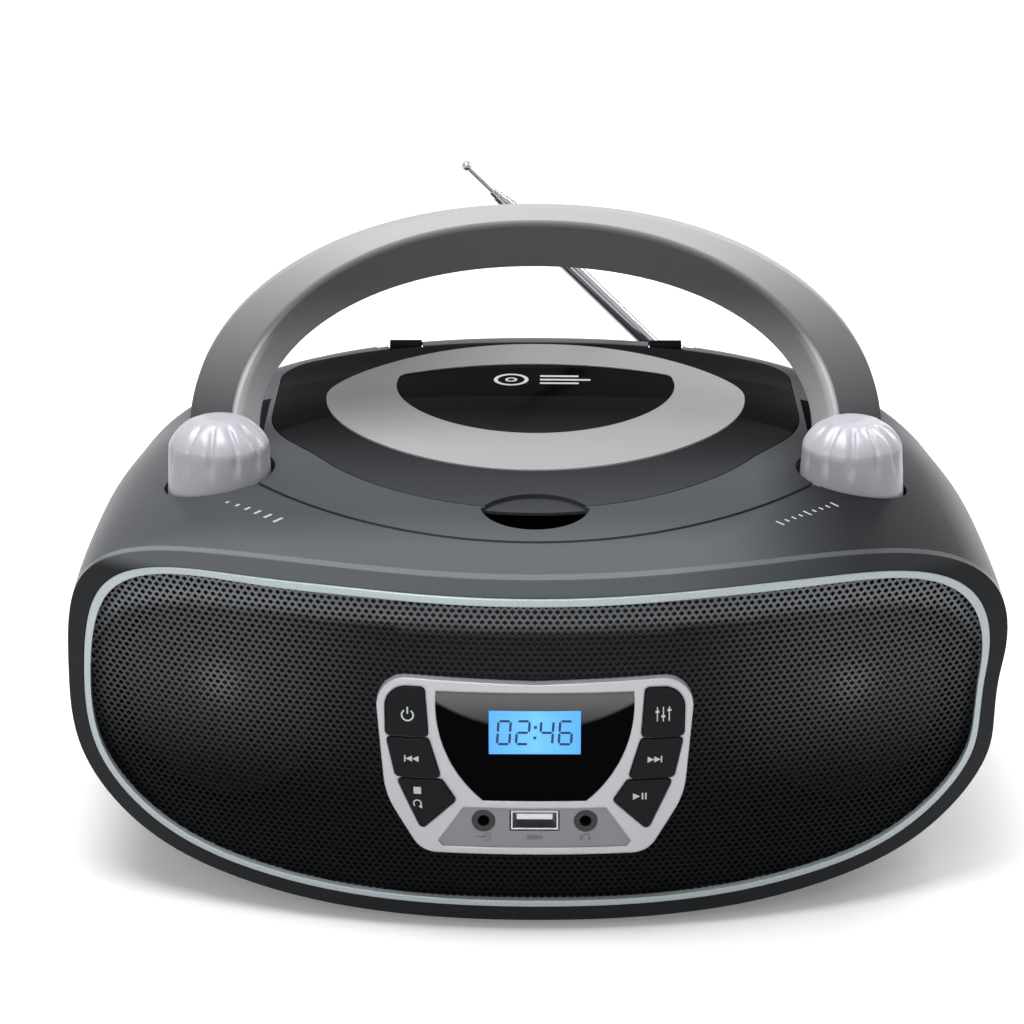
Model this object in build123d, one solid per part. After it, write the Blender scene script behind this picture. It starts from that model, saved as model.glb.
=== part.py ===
# A portable CD radio with a bean-shaped body, a carrying handle, two knobs on the
# shoulders and a control panel in the middle of a wide curved speaker grille.
# Millimetres. X runs to the right, Y to the back and Z up. The origin is on the
# surface that the radio stands on, below the middle of the whole. The sizes below
# count Y from a plane that lies MIDDLE_Y further forward.

from math import cos, pi, radians, sin, sqrt
import os

from build123d import *

# Body, as upright cross-sections from front to back:
# Y, half width, top height, bottom height, how square the top is
BODY_STATIONS = [
    (-112, 143.4, 111.5, 3.4, 4.4),
    (-98, 144.3, 115.6, 3.4, 4.2),
    (-75, 145.6, 119.4, 3.4, 4.0),
    (-40, 146.8, 123.8, 3.4, 3.65),
    (0, 147.2, 128.5, 3.4, 3.15),
    (45, 146.8, 132.5, 3.6, 2.65),
    (80, 144.0, 135.2, 4.5, 2.35),
    (96, 140.5, 135.6, 6.5, 2.3),
    (103, 136.5, 132.0, 10.5, 2.3),
    (106.5, 130.0, 125.5, 17.0, 2.3),
]
WAIST_Z = 73.0
BOTTOM_SQUARENESS = 3.0
SECTION_POINTS = 32
ROUNDED_BACK_Y = 90.0
BACK_Y = BODY_STATIONS[-1][0]
WALL = 2.5
ABOVE = 260.0

# Front, as layers of one large ball
BALL_R = 250.0
BALL_Y = 145.0
BALL_Z = 63.0
RIM_SKIN = 3.0
RIM_DEPTH = 9.0
BEZEL_WIDTH = 5.3
TRIM_WIDTH = 2.1
TRIM_PROUD = 0.6
SEAT_DEPTH = 3.05
BAFFLE_THICK = 2.5
BAFFLE_EDGE = 8.0
GRILLE_THICK = 1.0
FIT = 0.05
FRONT_REACH = 200.0

# Speakers
SPEAKER_X = 98.0
SPEAKER_Z = 69.0
SPEAKER_HOLE_R = 34.0
SPEAKER_FLANGE_R = 39.0
SPEAKER_BOSS_R = 41.0
FLANGE_THICK = 2.0
BASKET_DEPTH = 20.0
BASKET_BACK_R = 20.0
BASKET_WALL = 1.2
MAGNET_R = 22.0
MAGNET_THICK = 10.0
POLE_R = 9.0
COIL_R = 9.6
COIL_GAP = 0.4
CONE_R = 30.0
CONE_DEPTH = 11.0
CONE_THICK = 0.8
SURROUND_R = 33.0
DUST_CAP_R = 12.0
DUST_CAP_H = 3.5

# Control panel, seen from the front, left half; the right half is its mirror
PANEL_HALF = [(0, 83.8), (-37, 85.0), (-48.6, 85.0), (-45.4, 47.0), (-34.5, 28.0), (0, 28.0)]
PANEL_CORNER_R = 9.0
PANEL_HIP_R = 26.0
PANEL_FOOT_R = 8.0
PANEL_PROUD = 1.2
PANEL_FRAME = 1.6
BUTTON_PROUD = 0.7
BUTTON_FIT = 0.25
BUTTON_TRAVEL = 0.8
BUTTON_BACK_Y = -95.7
BUTTON_CORNER_R = 1.2
TOP_BUTTON = [(-45.0, 66.8), (-45.2, 82.3), (-33.4, 82.3), (-32.3, 66.8)]
MIDDLE_BUTTON = [(-42.1, 53.5), (-44.8, 66.2), (-32.2, 66.2), (-28.5, 53.5)]
BOTTOM_BUTTON = [(-34.4, 36.0), (-41.8, 52.9), (-28.2, 52.9), (-23.9, 46.3)]
BUTTON_TOP_R = 6.5
WINDOW_HALF_TOP = 29.8
WINDOW_TOP_Z = 81.4
WINDOW_HALF_FOOT = 15.6
WINDOW_FOOT_Z = 46.2
WINDOW_SIDE = (-26.6, 61.0)
WINDOW_SUNK = 0.4
WINDOW_THICK = 1.5
SCREEN_W = 27.8
SCREEN_H = 14.1
SCREEN_Z = 68.6
SCREEN_BODY_W = 34.0
SCREEN_BODY_H = 20.0
SCREEN_BODY_Y = -103.2
SCREEN_FACE_Y = -105.3
BOARD_Y = -90.0
BOARD_THICK = 1.6
SWITCH_SIDE = 6.0
SWITCH_BODY = 3.2
PLUNGER_R = 1.7
PLUNGER_REST = 0.3

# Sockets
SOCKET_Z = 39.5
JACK_X = 15.5
JACK_RING_R = 3.55
JACK_BORE_R = 1.8
JACK_DEPTH = 14.0
JACK_BODY = 8.0
JACK_BODY_FRONT_Y = -98.8
JACK_BODY_BACK_Y = -89.0
USB_OPENING_W = 15.2
USB_OPENING_H = 6.9
USB_SHELL_W = 14.4
USB_SHELL_H = 6.1
USB_SHELL_WALL = 0.5
USB_DEPTH = 14.0
USB_SUNK = 1.0
TONGUE_W = 11.0
TONGUE_H = 1.9
PLATE_SUNK = 0.35
PLATE_THICK = 1.0
PLATE_HALF = [(-21.6, 43.9), (-29.3, 32.2), (-28.0, 30.3)]

# Lid over the disc well
LID_HALF_W = 87.2
LID_ARC_R = 78.4
LID_ARC_HALF_W = 68.0
LID_SHOULDER = (81.0, 7.5)
LID_SHOULDER_WAY = (0.83, -0.56)
LID_SIDE_Y = 34.0
LID_FRONT_Y = -52.4
LID_BACK_Y = 88.0
LID_CORNER_R = 10.0
LID_EDGE_LEAN = 14.0
LID_GAP = 0.4
LID_REST_GAP = 0.3
LID_THICK = 2.5
LEDGE_THICK = 2.2
LEDGE_WALL = 2.0
RING_R = 70.0
RING_Y = 45.0
RING_PROUD = 0.6
RING_BACK = 40.0
INLAY_THICK = 1.2
WINDOW_RIM_HALF = 45.5
WINDOW_RIM_Y = 60.5
WINDOW_RIM_FRONT_Y = 3.5
WINDOW_RIM_BACK_Y = 67.5
WINDOW_RIM_R = 4.0
NOTCH_HALF_W = 17.0
NOTCH_FRONT_Y = -67.5
NOTCH_BACK_Y = -42.0
NOTCH_DEPTH = 8.0
NOTCH_WALL = 1.6
SCOOP_DEPTH = 1.5
GROOVE_HALF_W = 110.0
GROOVE_HALF_L = 120.4
GROOVE_WIDTH = 0.8
GROOVE_DEPTH = 1.1
CREASE_WIDTH = 2.4
CREASE_DEPTH = 0.35
GROOVE_END_Y = -18.0

# Lid hinge
HINGE_Y = 93.5
HINGE_Z = 132.4
KNUCKLE_R = 3.0
PIN_R = 1.2
ARM_X = 45.0
ARM_W = 11.0
ARM_FRONT_Y = 82.0
ARM_THICK = 3.0
CHEEK_W = 4.5
HINGE_SIDE_GAP = 0.5
ARM_CUT_Y = 80.5
ARM_CUT_BACK_Y = 98.0
ARM_CUT_Z = 127.5

# Disc well and drive
WELL_Y = 20.0
WELL_R = 63.5
WELL_WALL = 1.8
WELL_FLOOR_Z = 110.0
WELL_FLOOR_THICK = 2.0
SPINDLE_HOLE_R = 17.0
HUB_R = 15.0
HUB_Z = 110.4
HUB_THICK = 2.2
CONE_HUB_R = 7.3
CONE_HUB_H = 3.6
MOTOR_R = 12.0
MOTOR_H = 10.0
CHASSIS_Z = 90.0
CHASSIS_THICK = 1.5
CHASSIS_W = 74.0
CHASSIS_FRONT_Y = -52.0
CHASSIS_BACK_Y = 60.0
POST_R = 3.0
POST_X = 31.0
POST_FRONT_Y = -31.0
POST_BACK_Y = 54.0
ROD_R = 1.5
ROD_X = 17.0
ROD_Z = 99.0
ROD_FRONT_Y = -46.5
ROD_BACK_Y = 3.0
SLED_L = 14.0
SLED_H = 7.0
SLED_START_Y = -6.0
SLED_TRAVEL = 32.0
SLED_SIDE = 4.0
LENS_R = 3.6
LENS_TOP_Z = 110.5
LENS_SLOT_W = 12.0
RACK_W = 2.5
PINION_R = 4.0
PINION_THICK = 3.0
PINION_GAP = 0.3
PINION_MOTOR_R = 5.0
PINION_MOTOR_H = 8.0

# Knobs on the shoulders
KNOB_X = 101.0
KNOB_Y = -15.8
KNOB_R = 16.9
KNOB_BOTTOM_Z = 111.5
KNOB_SHOULDER_Z = 132.0
KNOB_TOP_Z = 140.5
KNOB_DRAFT = 0.9
KNOB_CROWN_R = 2.0
KNOB_FLUTES = 12
FLUTE_R = 1.7
FLUTE_DEPTH = 0.9
FLUTE_LEAN = 38.0
FLUTE_AT = (15.0, 135.0)
KNOB_GAP = 0.9
KNOB_WELL_FLOOR_Z = 110.0
KNOB_WELL_WALL = 1.5
KNOB_SOCKET_R = 3.05
KNOB_SOCKET_TOP_Z = 124.0
SHAFT_R = 3.0
SHAFT_TOP_Z = 123.5
SHAFT_HOLE_R = 4.0
CONTROL_R = 8.5
CONTROL_H = 9.0
CONTROL_NECK_R = 3.7
TUNER_SIDE = 20.0
TUNER_H = 12.0

# Carrying handle: half width, height above the springing, how square the arch is
ARCH_Z = 125.0
OUTER_ARCH = (113.0, 77.2, 2.12)
RIDGE_ARCH = (98.6, 73.8, 2.1)
INNER_ARCH = (90.6, 58.0, 2.1)
HANDLE_Y = 15.0
HANDLE_DEPTH = 19.0
HANDLE_EDGE_W = 6.0
RIDGE_HALF = 1.0
ARCH_SECTIONS = 25
PIVOT_Z = 114.0
PIVOT_R = 2.5
BOSS_R = 9.5
SLOT_GAP = 1.3
SLOT_BACK_Y = 55.0
SLOT_FLOOR_Z = 102.5
SLOT_WALL = 2.0
PIVOT_SEAT = 1.8

# Telescopic aerial behind the body
AERIAL_X = 67.0
AERIAL_Z = 103.0
AERIAL_Y = 111.2
AERIAL_LEAN = 44.7
AERIAL_SECTION_R = [2.9, 2.5, 2.05, 1.6, 0.9]
AERIAL_TUBE = 108.0
AERIAL_STEP = 2.5
AERIAL_FOOT = 7.0
AERIAL_FOOT_STEP = 1.5
AERIAL_FLOOR = 1.0
AERIAL_TIP_R = 1.75
AERIAL_ROD_SHOWS = 12.5
FORK_CHEEK = 1.5
FORK_R = 3.2
FORK_GAP = 0.3
KNUCKLE_STEP = 0.2
ELBOW_PIN_R = 1.5
SWIVEL_R = 3.5
SWIVEL_SEAT_R = 6.5
SWIVEL_SEAT_THICK = 1.3
SWIVEL_CLIP_R = 5.0
SWIVEL_CLIP_THICK = 1.6

# Underside, battery bay and power inlet
FOOT_R = 8.0
FOOT_X = 62.0
FOOT_FRONT_Y = -58.0
FOOT_BACK_Y = 72.0
BAY_HALF_W = 76.0
BAY_BOTTOM_Z = 24.0
BAY_TOP_Z = 64.0
BAY_DEPTH = 42.0
BAY_WALL = 1.8
DOOR_GAP = 0.5
DOOR_THICK = 2.2
DOOR_PIVOT_R = 2.0
DOOR_PIN_R = 1.0
INLET_X = -108.0
INLET_Z = 46.0
INLET_W = 16.0
INLET_H = 9.0
INLET_DEPTH = 18.0
INLET_PIN_R = 1.2
INLET_PIN_GAP = 7.5
INLET_PIN_SUNK = 5.0

# Electronics
MAIN_BOARD_Z = 24.0
MAIN_BOARD_W = 120.0
MAIN_BOARD_L = 90.0
MAIN_BOARD_Y = 5.0
TRANSFORMER = (44.0, 36.0, 38.0)
TRANSFORMER_X = -93.0
TRANSFORMER_Y = 28.0
SCREW_R = 1.5
SCREW_HEAD_R = 3.0
SCREW_HEAD_H = 1.3
SCREW_SUNK = 0.3
SCREW_L = 12.0
SCREW_BOSS_R = 3.6
SCREW_X = 108.0
SCREW_TOP_Z = 98.0
SCREW_LOW_Z = 33.0

# Middle of the whole, from the display window to the aerial's fork
FRONT_Y = BALL_Y - BALL_R - PANEL_PROUD + WINDOW_SUNK
MIDDLE_Y = (FRONT_Y + AERIAL_Y + FORK_R) / 2


def body_section(y, half_width, top, bottom, squareness):
    """One upright slice of the body: squarish above the waist, rounder below."""
    points = []
    for k in range(SECTION_POINTS):
        angle = 2 * pi * k / SECTION_POINTS
        c, s = cos(angle), sin(angle)
        height = top - WAIST_Z if s >= 0 else WAIST_Z - bottom
        power = squareness if s >= 0 else BOTTOM_SQUARENESS
        reach = (abs(c / half_width) ** power + abs(s / height) ** power) ** (-1 / power)
        points.append((reach * c, y, WAIST_Z + reach * s))
    return Face(Wire([Edge.make_spline([Vector(*p) for p in points], periodic=True)]))


FORMS = {}


def body_form(inset):
    """The body's outer form, drawn in by a distance on every side but the front."""
    if inset not in FORMS:
        slices = []
        for y, half_width, top, bottom, squareness in BODY_STATIONS:
            depth = y - inset if y > ROUNDED_BACK_Y else y
            slices.append(
                body_section(depth, half_width - inset, top - inset, bottom + inset, squareness)
            )
        FORMS[inset] = Solid.make_loft([face.outer_wire() for face in slices])
    return FORMS[inset]


def ball(radius):
    return Pos(0, BALL_Y, BALL_Z) * Sphere(radius)


def front_shell(outer, inner):
    """The room between two balls that share the front's centre."""
    return ball(outer) - ball(inner)


def front_prism(sketch):
    """A sketch in X and Z, carried from the middle of the body out past the front."""
    return extrude(Plane.XZ * sketch, FRONT_REACH)


def plan_prism(sketch, low=WAIST_Z):
    """A sketch in X and Y, carried upwards."""
    return extrude(Pos(0, 0, low) * sketch, ABOVE - low)


def ball_front_y(x, z, radius):
    return BALL_Y - sqrt(radius**2 - x**2 - (z - BALL_Z) ** 2)


def box_between(low, high):
    size = [b - a for a, b in zip(low, high)]
    middle = [(a + b) / 2 for a, b in zip(low, high)]
    return Pos(*middle) * Box(*size)


def tube_x(radius, x_low, x_high, y, z):
    """A cylinder along X."""
    return Pos((x_low + x_high) / 2, y, z) * Rot(0, 90, 0) * Cylinder(radius, x_high - x_low)


def tube_y(radius, y_low, y_high, x, z):
    """A cylinder along Y."""
    return Pos(x, (y_low + y_high) / 2, z) * Rot(90, 0, 0) * Cylinder(radius, y_high - y_low)


def tube_z(radius, z_low, z_high, x, y):
    return Pos(x, y, (z_low + z_high) / 2) * Cylinder(radius, z_high - z_low)


def both_sides(shape):
    """The shape and its mirror on the other side, as one group."""
    return [shape, mirror(shape, about=Plane.YZ)]


def mirrored_outline(half):
    """A closed sketch from its left half."""
    right = [(-x, z) for x, z in reversed(half) if x != 0]
    return make_face(Polyline(*half, *right, close=True))


def save(name, *shapes):
    """Write one node; several shapes stay separate solids."""
    solids = [Pos(0, -MIDDLE_Y, 0) * solid for shape in shapes for solid in shape.solids()]
    part = solids[0] if len(solids) == 1 else Compound(children=solids)
    export_step(part, f"parts/{name}.step")


# Outlines of the front


def panel_sketch():
    outline = mirrored_outline(PANEL_HALF)
    corners = outline.vertices()
    top = corners.filter_by_position(Axis.X, 48, 60, (True, True)) + corners.filter_by_position(
        Axis.X, -60, -48, (True, True)
    )
    outline = fillet(top, PANEL_CORNER_R)
    hips = [v for v in outline.vertices() if abs(abs(v.X) - abs(PANEL_HALF[3][0])) < 0.01]
    outline = fillet(hips, PANEL_HIP_R)
    feet = [v for v in outline.vertices() if abs(abs(v.X) - abs(PANEL_HALF[4][0])) < 0.01]
    return fillet(feet, PANEL_FOOT_R)


def window_sketch():
    top_left = (-WINDOW_HALF_TOP, WINDOW_TOP_Z)
    top_right = (WINDOW_HALF_TOP, WINDOW_TOP_Z)
    foot_left = (-WINDOW_HALF_FOOT, WINDOW_FOOT_Z)
    foot_right = (WINDOW_HALF_FOOT, WINDOW_FOOT_Z)
    side_left = WINDOW_SIDE
    side_right = (-WINDOW_SIDE[0], WINDOW_SIDE[1])
    edges = [
        Line(top_left, top_right),
        ThreePointArc(top_right, side_right, foot_right),
        Line(foot_right, foot_left),
        ThreePointArc(foot_left, side_left, top_left),
    ]
    return make_face(edges)


def button_sketch(corners, top_corner=None):
    """A four-cornered button; its second corner may be rounder."""
    outline = make_face(Polyline(*corners, close=True))
    if top_corner:
        second = [v for v in outline.vertices() if abs(v.X - corners[1][0]) < 0.01]
        outline = fillet(second, top_corner)
    sharp = [
        v
        for v in outline.vertices()
        if any(abs(v.X - x) < 0.01 and abs(v.Y - z) < 0.01 for x, z in corners)
    ]
    return fillet(sharp, BUTTON_CORNER_R)


BUTTONS = {
    "top": button_sketch(TOP_BUTTON, BUTTON_TOP_R),
    "middle": button_sketch(MIDDLE_BUTTON),
    "bottom": button_sketch(BOTTOM_BUTTON),
}
BUTTON_NAMES = {
    ("top", -1): "power_button",
    ("middle", -1): "previous_button",
    ("bottom", -1): "stop_button",
    ("top", 1): "mode_button",
    ("middle", 1): "next_button",
    ("bottom", 1): "play_button",
}


def side_sketch(sketch, side):
    return sketch if side < 0 else mirror(sketch, about=Plane.YZ)


def socket_plate_sketch(shrink=0.0):
    outline = mirrored_outline(PLATE_HALF)
    return offset(outline, -shrink) if shrink else outline


# Front of the cabinet


def speaker_frame_location(side):
    """On the baffle ball at a speaker's centre, with local Z pointing out of the front."""
    radius = BALL_R - RIM_DEPTH
    z_off = SPEAKER_Z - BALL_Z
    direction = Vector(side * SPEAKER_X, -sqrt(radius**2 - SPEAKER_X**2 - z_off**2), z_off)
    origin = Vector(0, BALL_Y, BALL_Z) + direction
    return Plane(origin=origin, z_dir=direction)


def front_cabinet():
    rim = body_form(0) & front_shell(BALL_R, BALL_R - RIM_SKIN)
    rim += body_form(WALL + FIT) & front_shell(BALL_R - RIM_SKIN, BALL_R - RIM_DEPTH)
    seat = body_form(BEZEL_WIDTH) & front_shell(BALL_R + 5, BALL_R - SEAT_DEPTH)
    inside = body_form(BAFFLE_EDGE) & front_shell(
        BALL_R - SEAT_DEPTH - BAFFLE_THICK, BALL_R - RIM_DEPTH - 5
    )
    cabinet = rim - seat - inside
    for side in (-1, 1):
        plane = speaker_frame_location(side)
        boss = plane * Pos(0, 0, 2.5) * Cylinder(SPEAKER_BOSS_R, 5)
        cabinet += boss & body_form(BEZEL_WIDTH) & ball(BALL_R - SEAT_DEPTH)
        cabinet -= plane * Cylinder(SPEAKER_HOLE_R, 40)
    cabinet -= front_prism(offset(panel_sketch(), -PANEL_FRAME))
    return cabinet


def trim_ring():
    ring = body_form(BEZEL_WIDTH + FIT) - body_form(BEZEL_WIDTH + TRIM_WIDTH)
    return ring & front_shell(BALL_R + TRIM_PROUD, BALL_R - SEAT_DEPTH)


def speaker_grille():
    sheet = body_form(BEZEL_WIDTH + TRIM_WIDTH + FIT) & front_shell(
        BALL_R - SEAT_DEPTH + GRILLE_THICK, BALL_R - SEAT_DEPTH
    )
    return sheet - front_prism(offset(panel_sketch(), FIT))


def control_panel():
    panel = front_prism(panel_sketch()) & front_shell(
        BALL_R + PANEL_PROUD, BALL_R - SEAT_DEPTH
    )
    panel -= front_prism(window_sketch())
    for side in (-1, 1):
        for sketch in BUTTONS.values():
            panel -= front_prism(offset(side_sketch(sketch, side), BUTTON_FIT))
        panel -= tube_y(JACK_RING_R + FIT, -120, -60, side * JACK_X, SOCKET_Z)
    panel -= box_between(
        (-USB_OPENING_W / 2, -120, SOCKET_Z - USB_OPENING_H / 2),
        (USB_OPENING_W / 2, -60, SOCKET_Z + USB_OPENING_H / 2),
    )
    panel -= front_prism(socket_plate_sketch()) & front_shell(
        BALL_R + 5, BALL_R + PANEL_PROUD - PLATE_SUNK - PLATE_THICK
    )
    return panel


def socket_plate():
    plate = front_prism(socket_plate_sketch(FIT)) & front_shell(
        BALL_R + PANEL_PROUD - PLATE_SUNK, BALL_R + PANEL_PROUD - PLATE_SUNK - PLATE_THICK
    )
    for side in (-1, 1):
        plate -= tube_y(JACK_RING_R + FIT, -120, -60, side * JACK_X, SOCKET_Z)
    return plate - box_between(
        (-USB_OPENING_W / 2, -120, SOCKET_Z - USB_OPENING_H / 2),
        (USB_OPENING_W / 2, -60, SOCKET_Z + USB_OPENING_H / 2),
    )


def display_window():
    outer = BALL_R + PANEL_PROUD - WINDOW_SUNK
    lens = front_prism(offset(window_sketch(), -FIT)) & front_shell(outer, outer - WINDOW_THICK)
    return lens - box_between(
        (-SCREEN_W / 2, -120, SCREEN_Z - SCREEN_H / 2),
        (SCREEN_W / 2, -60, SCREEN_Z + SCREEN_H / 2),
    )


def display_screen():
    glass = box_between(
        (-SCREEN_W / 2 + FIT, SCREEN_FACE_Y, SCREEN_Z - SCREEN_H / 2 + FIT),
        (SCREEN_W / 2 - FIT, SCREEN_BODY_Y, SCREEN_Z + SCREEN_H / 2 - FIT),
    )
    module = box_between(
        (-SCREEN_BODY_W / 2, SCREEN_BODY_Y, SCREEN_Z - SCREEN_BODY_H / 2),
        (SCREEN_BODY_W / 2, BOARD_Y, SCREEN_Z + SCREEN_BODY_H / 2),
    )
    return glass + module


def button(row, side):
    face = side_sketch(BUTTONS[row], side)
    deep = front_prism(face) & ball(BALL_R + PANEL_PROUD + BUTTON_PROUD)
    return deep & box_between((-200, -200, 0), (200, BUTTON_BACK_Y, 200))


def button_centres():
    centres = [sketch.center() for sketch in BUTTONS.values()]
    return [(-side * c.X, c.Y) for side in (-1, 1) for c in centres]


def key_switches():
    """Six tactile switches whose plungers stop just short of the pressed buttons."""
    tip_y = BUTTON_BACK_Y + BUTTON_TRAVEL + PLUNGER_REST
    switches = []
    half = SWITCH_SIDE / 2
    for x, z in button_centres():
        base = box_between((x - half, BOARD_Y - SWITCH_BODY, z - half), (x + half, BOARD_Y, z + half))
        switches.append(base + tube_y(PLUNGER_R, tip_y, BOARD_Y - 1, x, z))
    return switches


def key_board():
    return box_between((-46, BOARD_Y, 46), (46, BOARD_Y + BOARD_THICK, 84))


def socket_board():
    top = SOCKET_Z + JACK_BODY / 2 + 1
    bottom = SOCKET_Z - JACK_BODY / 2 - 2
    return box_between((-28, JACK_BODY_BACK_Y, bottom), (28, JACK_BODY_BACK_Y + BOARD_THICK, top))


def round_jack(side):
    """A panel socket for a 3.5 mm plug, with its ring flush in the plate."""
    x = side * JACK_X
    front = ball_front_y(x, SOCKET_Z, BALL_R + PANEL_PROUD) + 0.1
    half = JACK_BODY / 2
    ring = tube_y(JACK_RING_R, front, JACK_BODY_BACK_Y, x, SOCKET_Z)
    block = box_between(
        (x - half, JACK_BODY_FRONT_Y, SOCKET_Z - half), (x + half, JACK_BODY_BACK_Y, SOCKET_Z + half)
    )
    return ring + block - tube_y(JACK_BORE_R, front - 1, front + JACK_DEPTH, x, SOCKET_Z)


def usb_socket():
    front = ball_front_y(0, SOCKET_Z, BALL_R + PANEL_PROUD) + USB_SUNK
    half_w, half_h = USB_SHELL_W / 2, USB_SHELL_H / 2
    wall = USB_SHELL_WALL
    shell = box_between(
        (-half_w, front, SOCKET_Z - half_h), (half_w, JACK_BODY_BACK_Y, SOCKET_Z + half_h)
    )
    shell -= box_between(
        (-half_w + wall, front - 1, SOCKET_Z - half_h + wall),
        (half_w - wall, front + USB_DEPTH - 1.5, SOCKET_Z + half_h - wall),
    )
    tongue = box_between(
        (-TONGUE_W / 2, front + 1.5, SOCKET_Z - TONGUE_H / 2 + 0.6),
        (TONGUE_W / 2, front + USB_DEPTH, SOCKET_Z + TONGUE_H / 2 + 0.6),
    )
    return shell + tongue


# Speakers, drawn on their own plane: local Z points out of the front


def speaker_frame(side):
    flange = Pos(0, 0, -FLANGE_THICK / 2) * Cylinder(SPEAKER_FLANGE_R, FLANGE_THICK)
    outer = Pos(0, 0, -FLANGE_THICK - BASKET_DEPTH / 2) * Rot(180, 0, 0) * Cone(
        SPEAKER_HOLE_R + BASKET_WALL, BASKET_BACK_R + BASKET_WALL, BASKET_DEPTH
    )
    inner = Pos(0, 0, -FLANGE_THICK - (BASKET_DEPTH - BASKET_WALL) / 2) * Rot(180, 0, 0) * Cone(
        SPEAKER_HOLE_R, BASKET_BACK_R, BASKET_DEPTH - BASKET_WALL
    )
    mouth = Pos(0, 0, -FLANGE_THICK / 2) * Cylinder(SPEAKER_HOLE_R, FLANGE_THICK)
    basket = flange + outer - inner - mouth
    basket -= Pos(0, 0, -BASKET_DEPTH) * Cylinder(COIL_R + COIL_GAP, 30)
    return speaker_frame_location(side) * basket


def speaker_magnet(side):
    back = -FLANGE_THICK - BASKET_DEPTH
    ring = Pos(0, 0, back - MAGNET_THICK / 2) * (
        Cylinder(MAGNET_R, MAGNET_THICK) - Pos(0, 0, 2) * Cylinder(COIL_R + COIL_GAP, MAGNET_THICK)
    )
    pole = Pos(0, 0, back - MAGNET_THICK / 2) * Cylinder(POLE_R - COIL_GAP, MAGNET_THICK)
    return speaker_frame_location(side) * (ring + pole)


def speaker_cone(side):
    """Cone, surround, dust cap and coil former as one moving diaphragm."""
    rim = SURROUND_R
    top = -FLANGE_THICK / 2
    profile = make_face(
        Polyline(
            (COIL_R, top - CONE_DEPTH),
            (CONE_R - 1, top),
            (rim, top),
            (rim, top - CONE_THICK),
            (CONE_R - 0.5, top - CONE_THICK),
            (COIL_R + 0.3, top - CONE_DEPTH - 1),
            (COIL_R + 0.1, -FLANGE_THICK - BASKET_DEPTH - 3),
            (COIL_R - 0.3, -FLANGE_THICK - BASKET_DEPTH - 3),
            (COIL_R - 0.3, top - CONE_DEPTH),
            close=True,
        )
    )
    diaphragm = revolve(Plane.XZ * profile, Axis.Z)
    edge_z = top - CONE_DEPTH + (DUST_CAP_R - COIL_R) * CONE_DEPTH / (CONE_R - COIL_R) - CONE_THICK / 2
    cap_r = (DUST_CAP_R**2 + DUST_CAP_H**2) / (2 * DUST_CAP_H)
    cap = Sphere(cap_r) - Sphere(cap_r - CONE_THICK)
    cap = Pos(0, 0, edge_z + DUST_CAP_H - cap_r) * cap
    cap &= Pos(0, 0, edge_z + 5) * Cylinder(DUST_CAP_R + 1, 10)
    return speaker_frame_location(side) * (diaphragm + cap)


# Plan outlines of the top


def lid_plan(grow=0.0):
    """The lid from above: a round front that widens to straight sides."""
    half = LID_ARC_HALF_W
    rise = sqrt(LID_ARC_R**2 - half**2)
    reach = 1 + grow / LID_ARC_R
    arc_y = LID_FRONT_Y + LID_ARC_R - rise * reach
    half *= reach
    shoulder_x = LID_SHOULDER[0] + grow * LID_SHOULDER_WAY[0]
    shoulder_y = LID_SHOULDER[1] + grow * LID_SHOULDER_WAY[1]
    side_x = LID_HALF_W + grow
    back_y = LID_BACK_Y + grow
    edges = [
        ThreePointArc((-half, arc_y), (0, LID_FRONT_Y - grow), (half, arc_y)),
        Spline(
            (half, arc_y),
            (shoulder_x, shoulder_y),
            (side_x, LID_SIDE_Y),
            tangents=((rise, LID_ARC_HALF_W), (0, 1)),
        ),
        Line((side_x, LID_SIDE_Y), (side_x, back_y)),
        Line((side_x, back_y), (-side_x, back_y)),
        Line((-side_x, back_y), (-side_x, LID_SIDE_Y)),
        Spline(
            (-side_x, LID_SIDE_Y),
            (-shoulder_x, shoulder_y),
            (-half, arc_y),
            tangents=((0, -1), (rise, -LID_ARC_HALF_W)),
        ),
    ]
    outline = make_face(edges)
    corners = [v for v in outline.vertices() if v.Y > back_y - 1]
    return fillet(corners, LID_CORNER_R + grow)


def ring_plan(shrink=0.0):
    """Half a circle at the front, half a flatter ellipse at the back."""
    radius, back = RING_R - shrink, RING_BACK - shrink
    front_side = Pos(0, -radius) * Rectangle(3 * radius, 2 * radius)
    back_side = Pos(0, radius) * Rectangle(3 * radius, 2 * radius)
    return Pos(0, RING_Y) * ((Circle(radius) & front_side) + (Ellipse(radius, back) & back_side))


def lid_window_plan():
    left = (-WINDOW_RIM_HALF, WINDOW_RIM_Y)
    right = (WINDOW_RIM_HALF, WINDOW_RIM_Y)
    outline = make_face(
        [
            ThreePointArc(left, (0, WINDOW_RIM_FRONT_Y), right),
            ThreePointArc(right, (0, WINDOW_RIM_BACK_Y), left),
        ]
    )
    return fillet(outline.vertices(), WINDOW_RIM_R)


def notch_plan(grow=0.0, back=NOTCH_BACK_Y):
    """The lens-shaped finger recess across the lid's front edge."""
    half = NOTCH_HALF_W + grow
    tip_y = LID_FRONT_Y
    front = (0, NOTCH_FRONT_Y - grow)
    edges = [
        ThreePointArc((-half, tip_y), front, (half, tip_y)),
        ThreePointArc((half, tip_y), (0, back + grow), (-half, tip_y)),
    ]
    return make_face(edges)


def ellipse_band(width, shrink=0.0):
    """A narrow band along the groove round the deck, open behind the knobs."""
    outer = Ellipse(GROOVE_HALF_W - shrink + width, GROOVE_HALF_L - shrink + width)
    band = Pos(0, RING_Y) * (outer - Ellipse(GROOVE_HALF_W - shrink, GROOVE_HALF_L - shrink))
    keep = Pos(0, GROOVE_END_Y - 100) * Rectangle(2 * GROOVE_HALF_W + 20, 200)
    return band & keep


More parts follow.
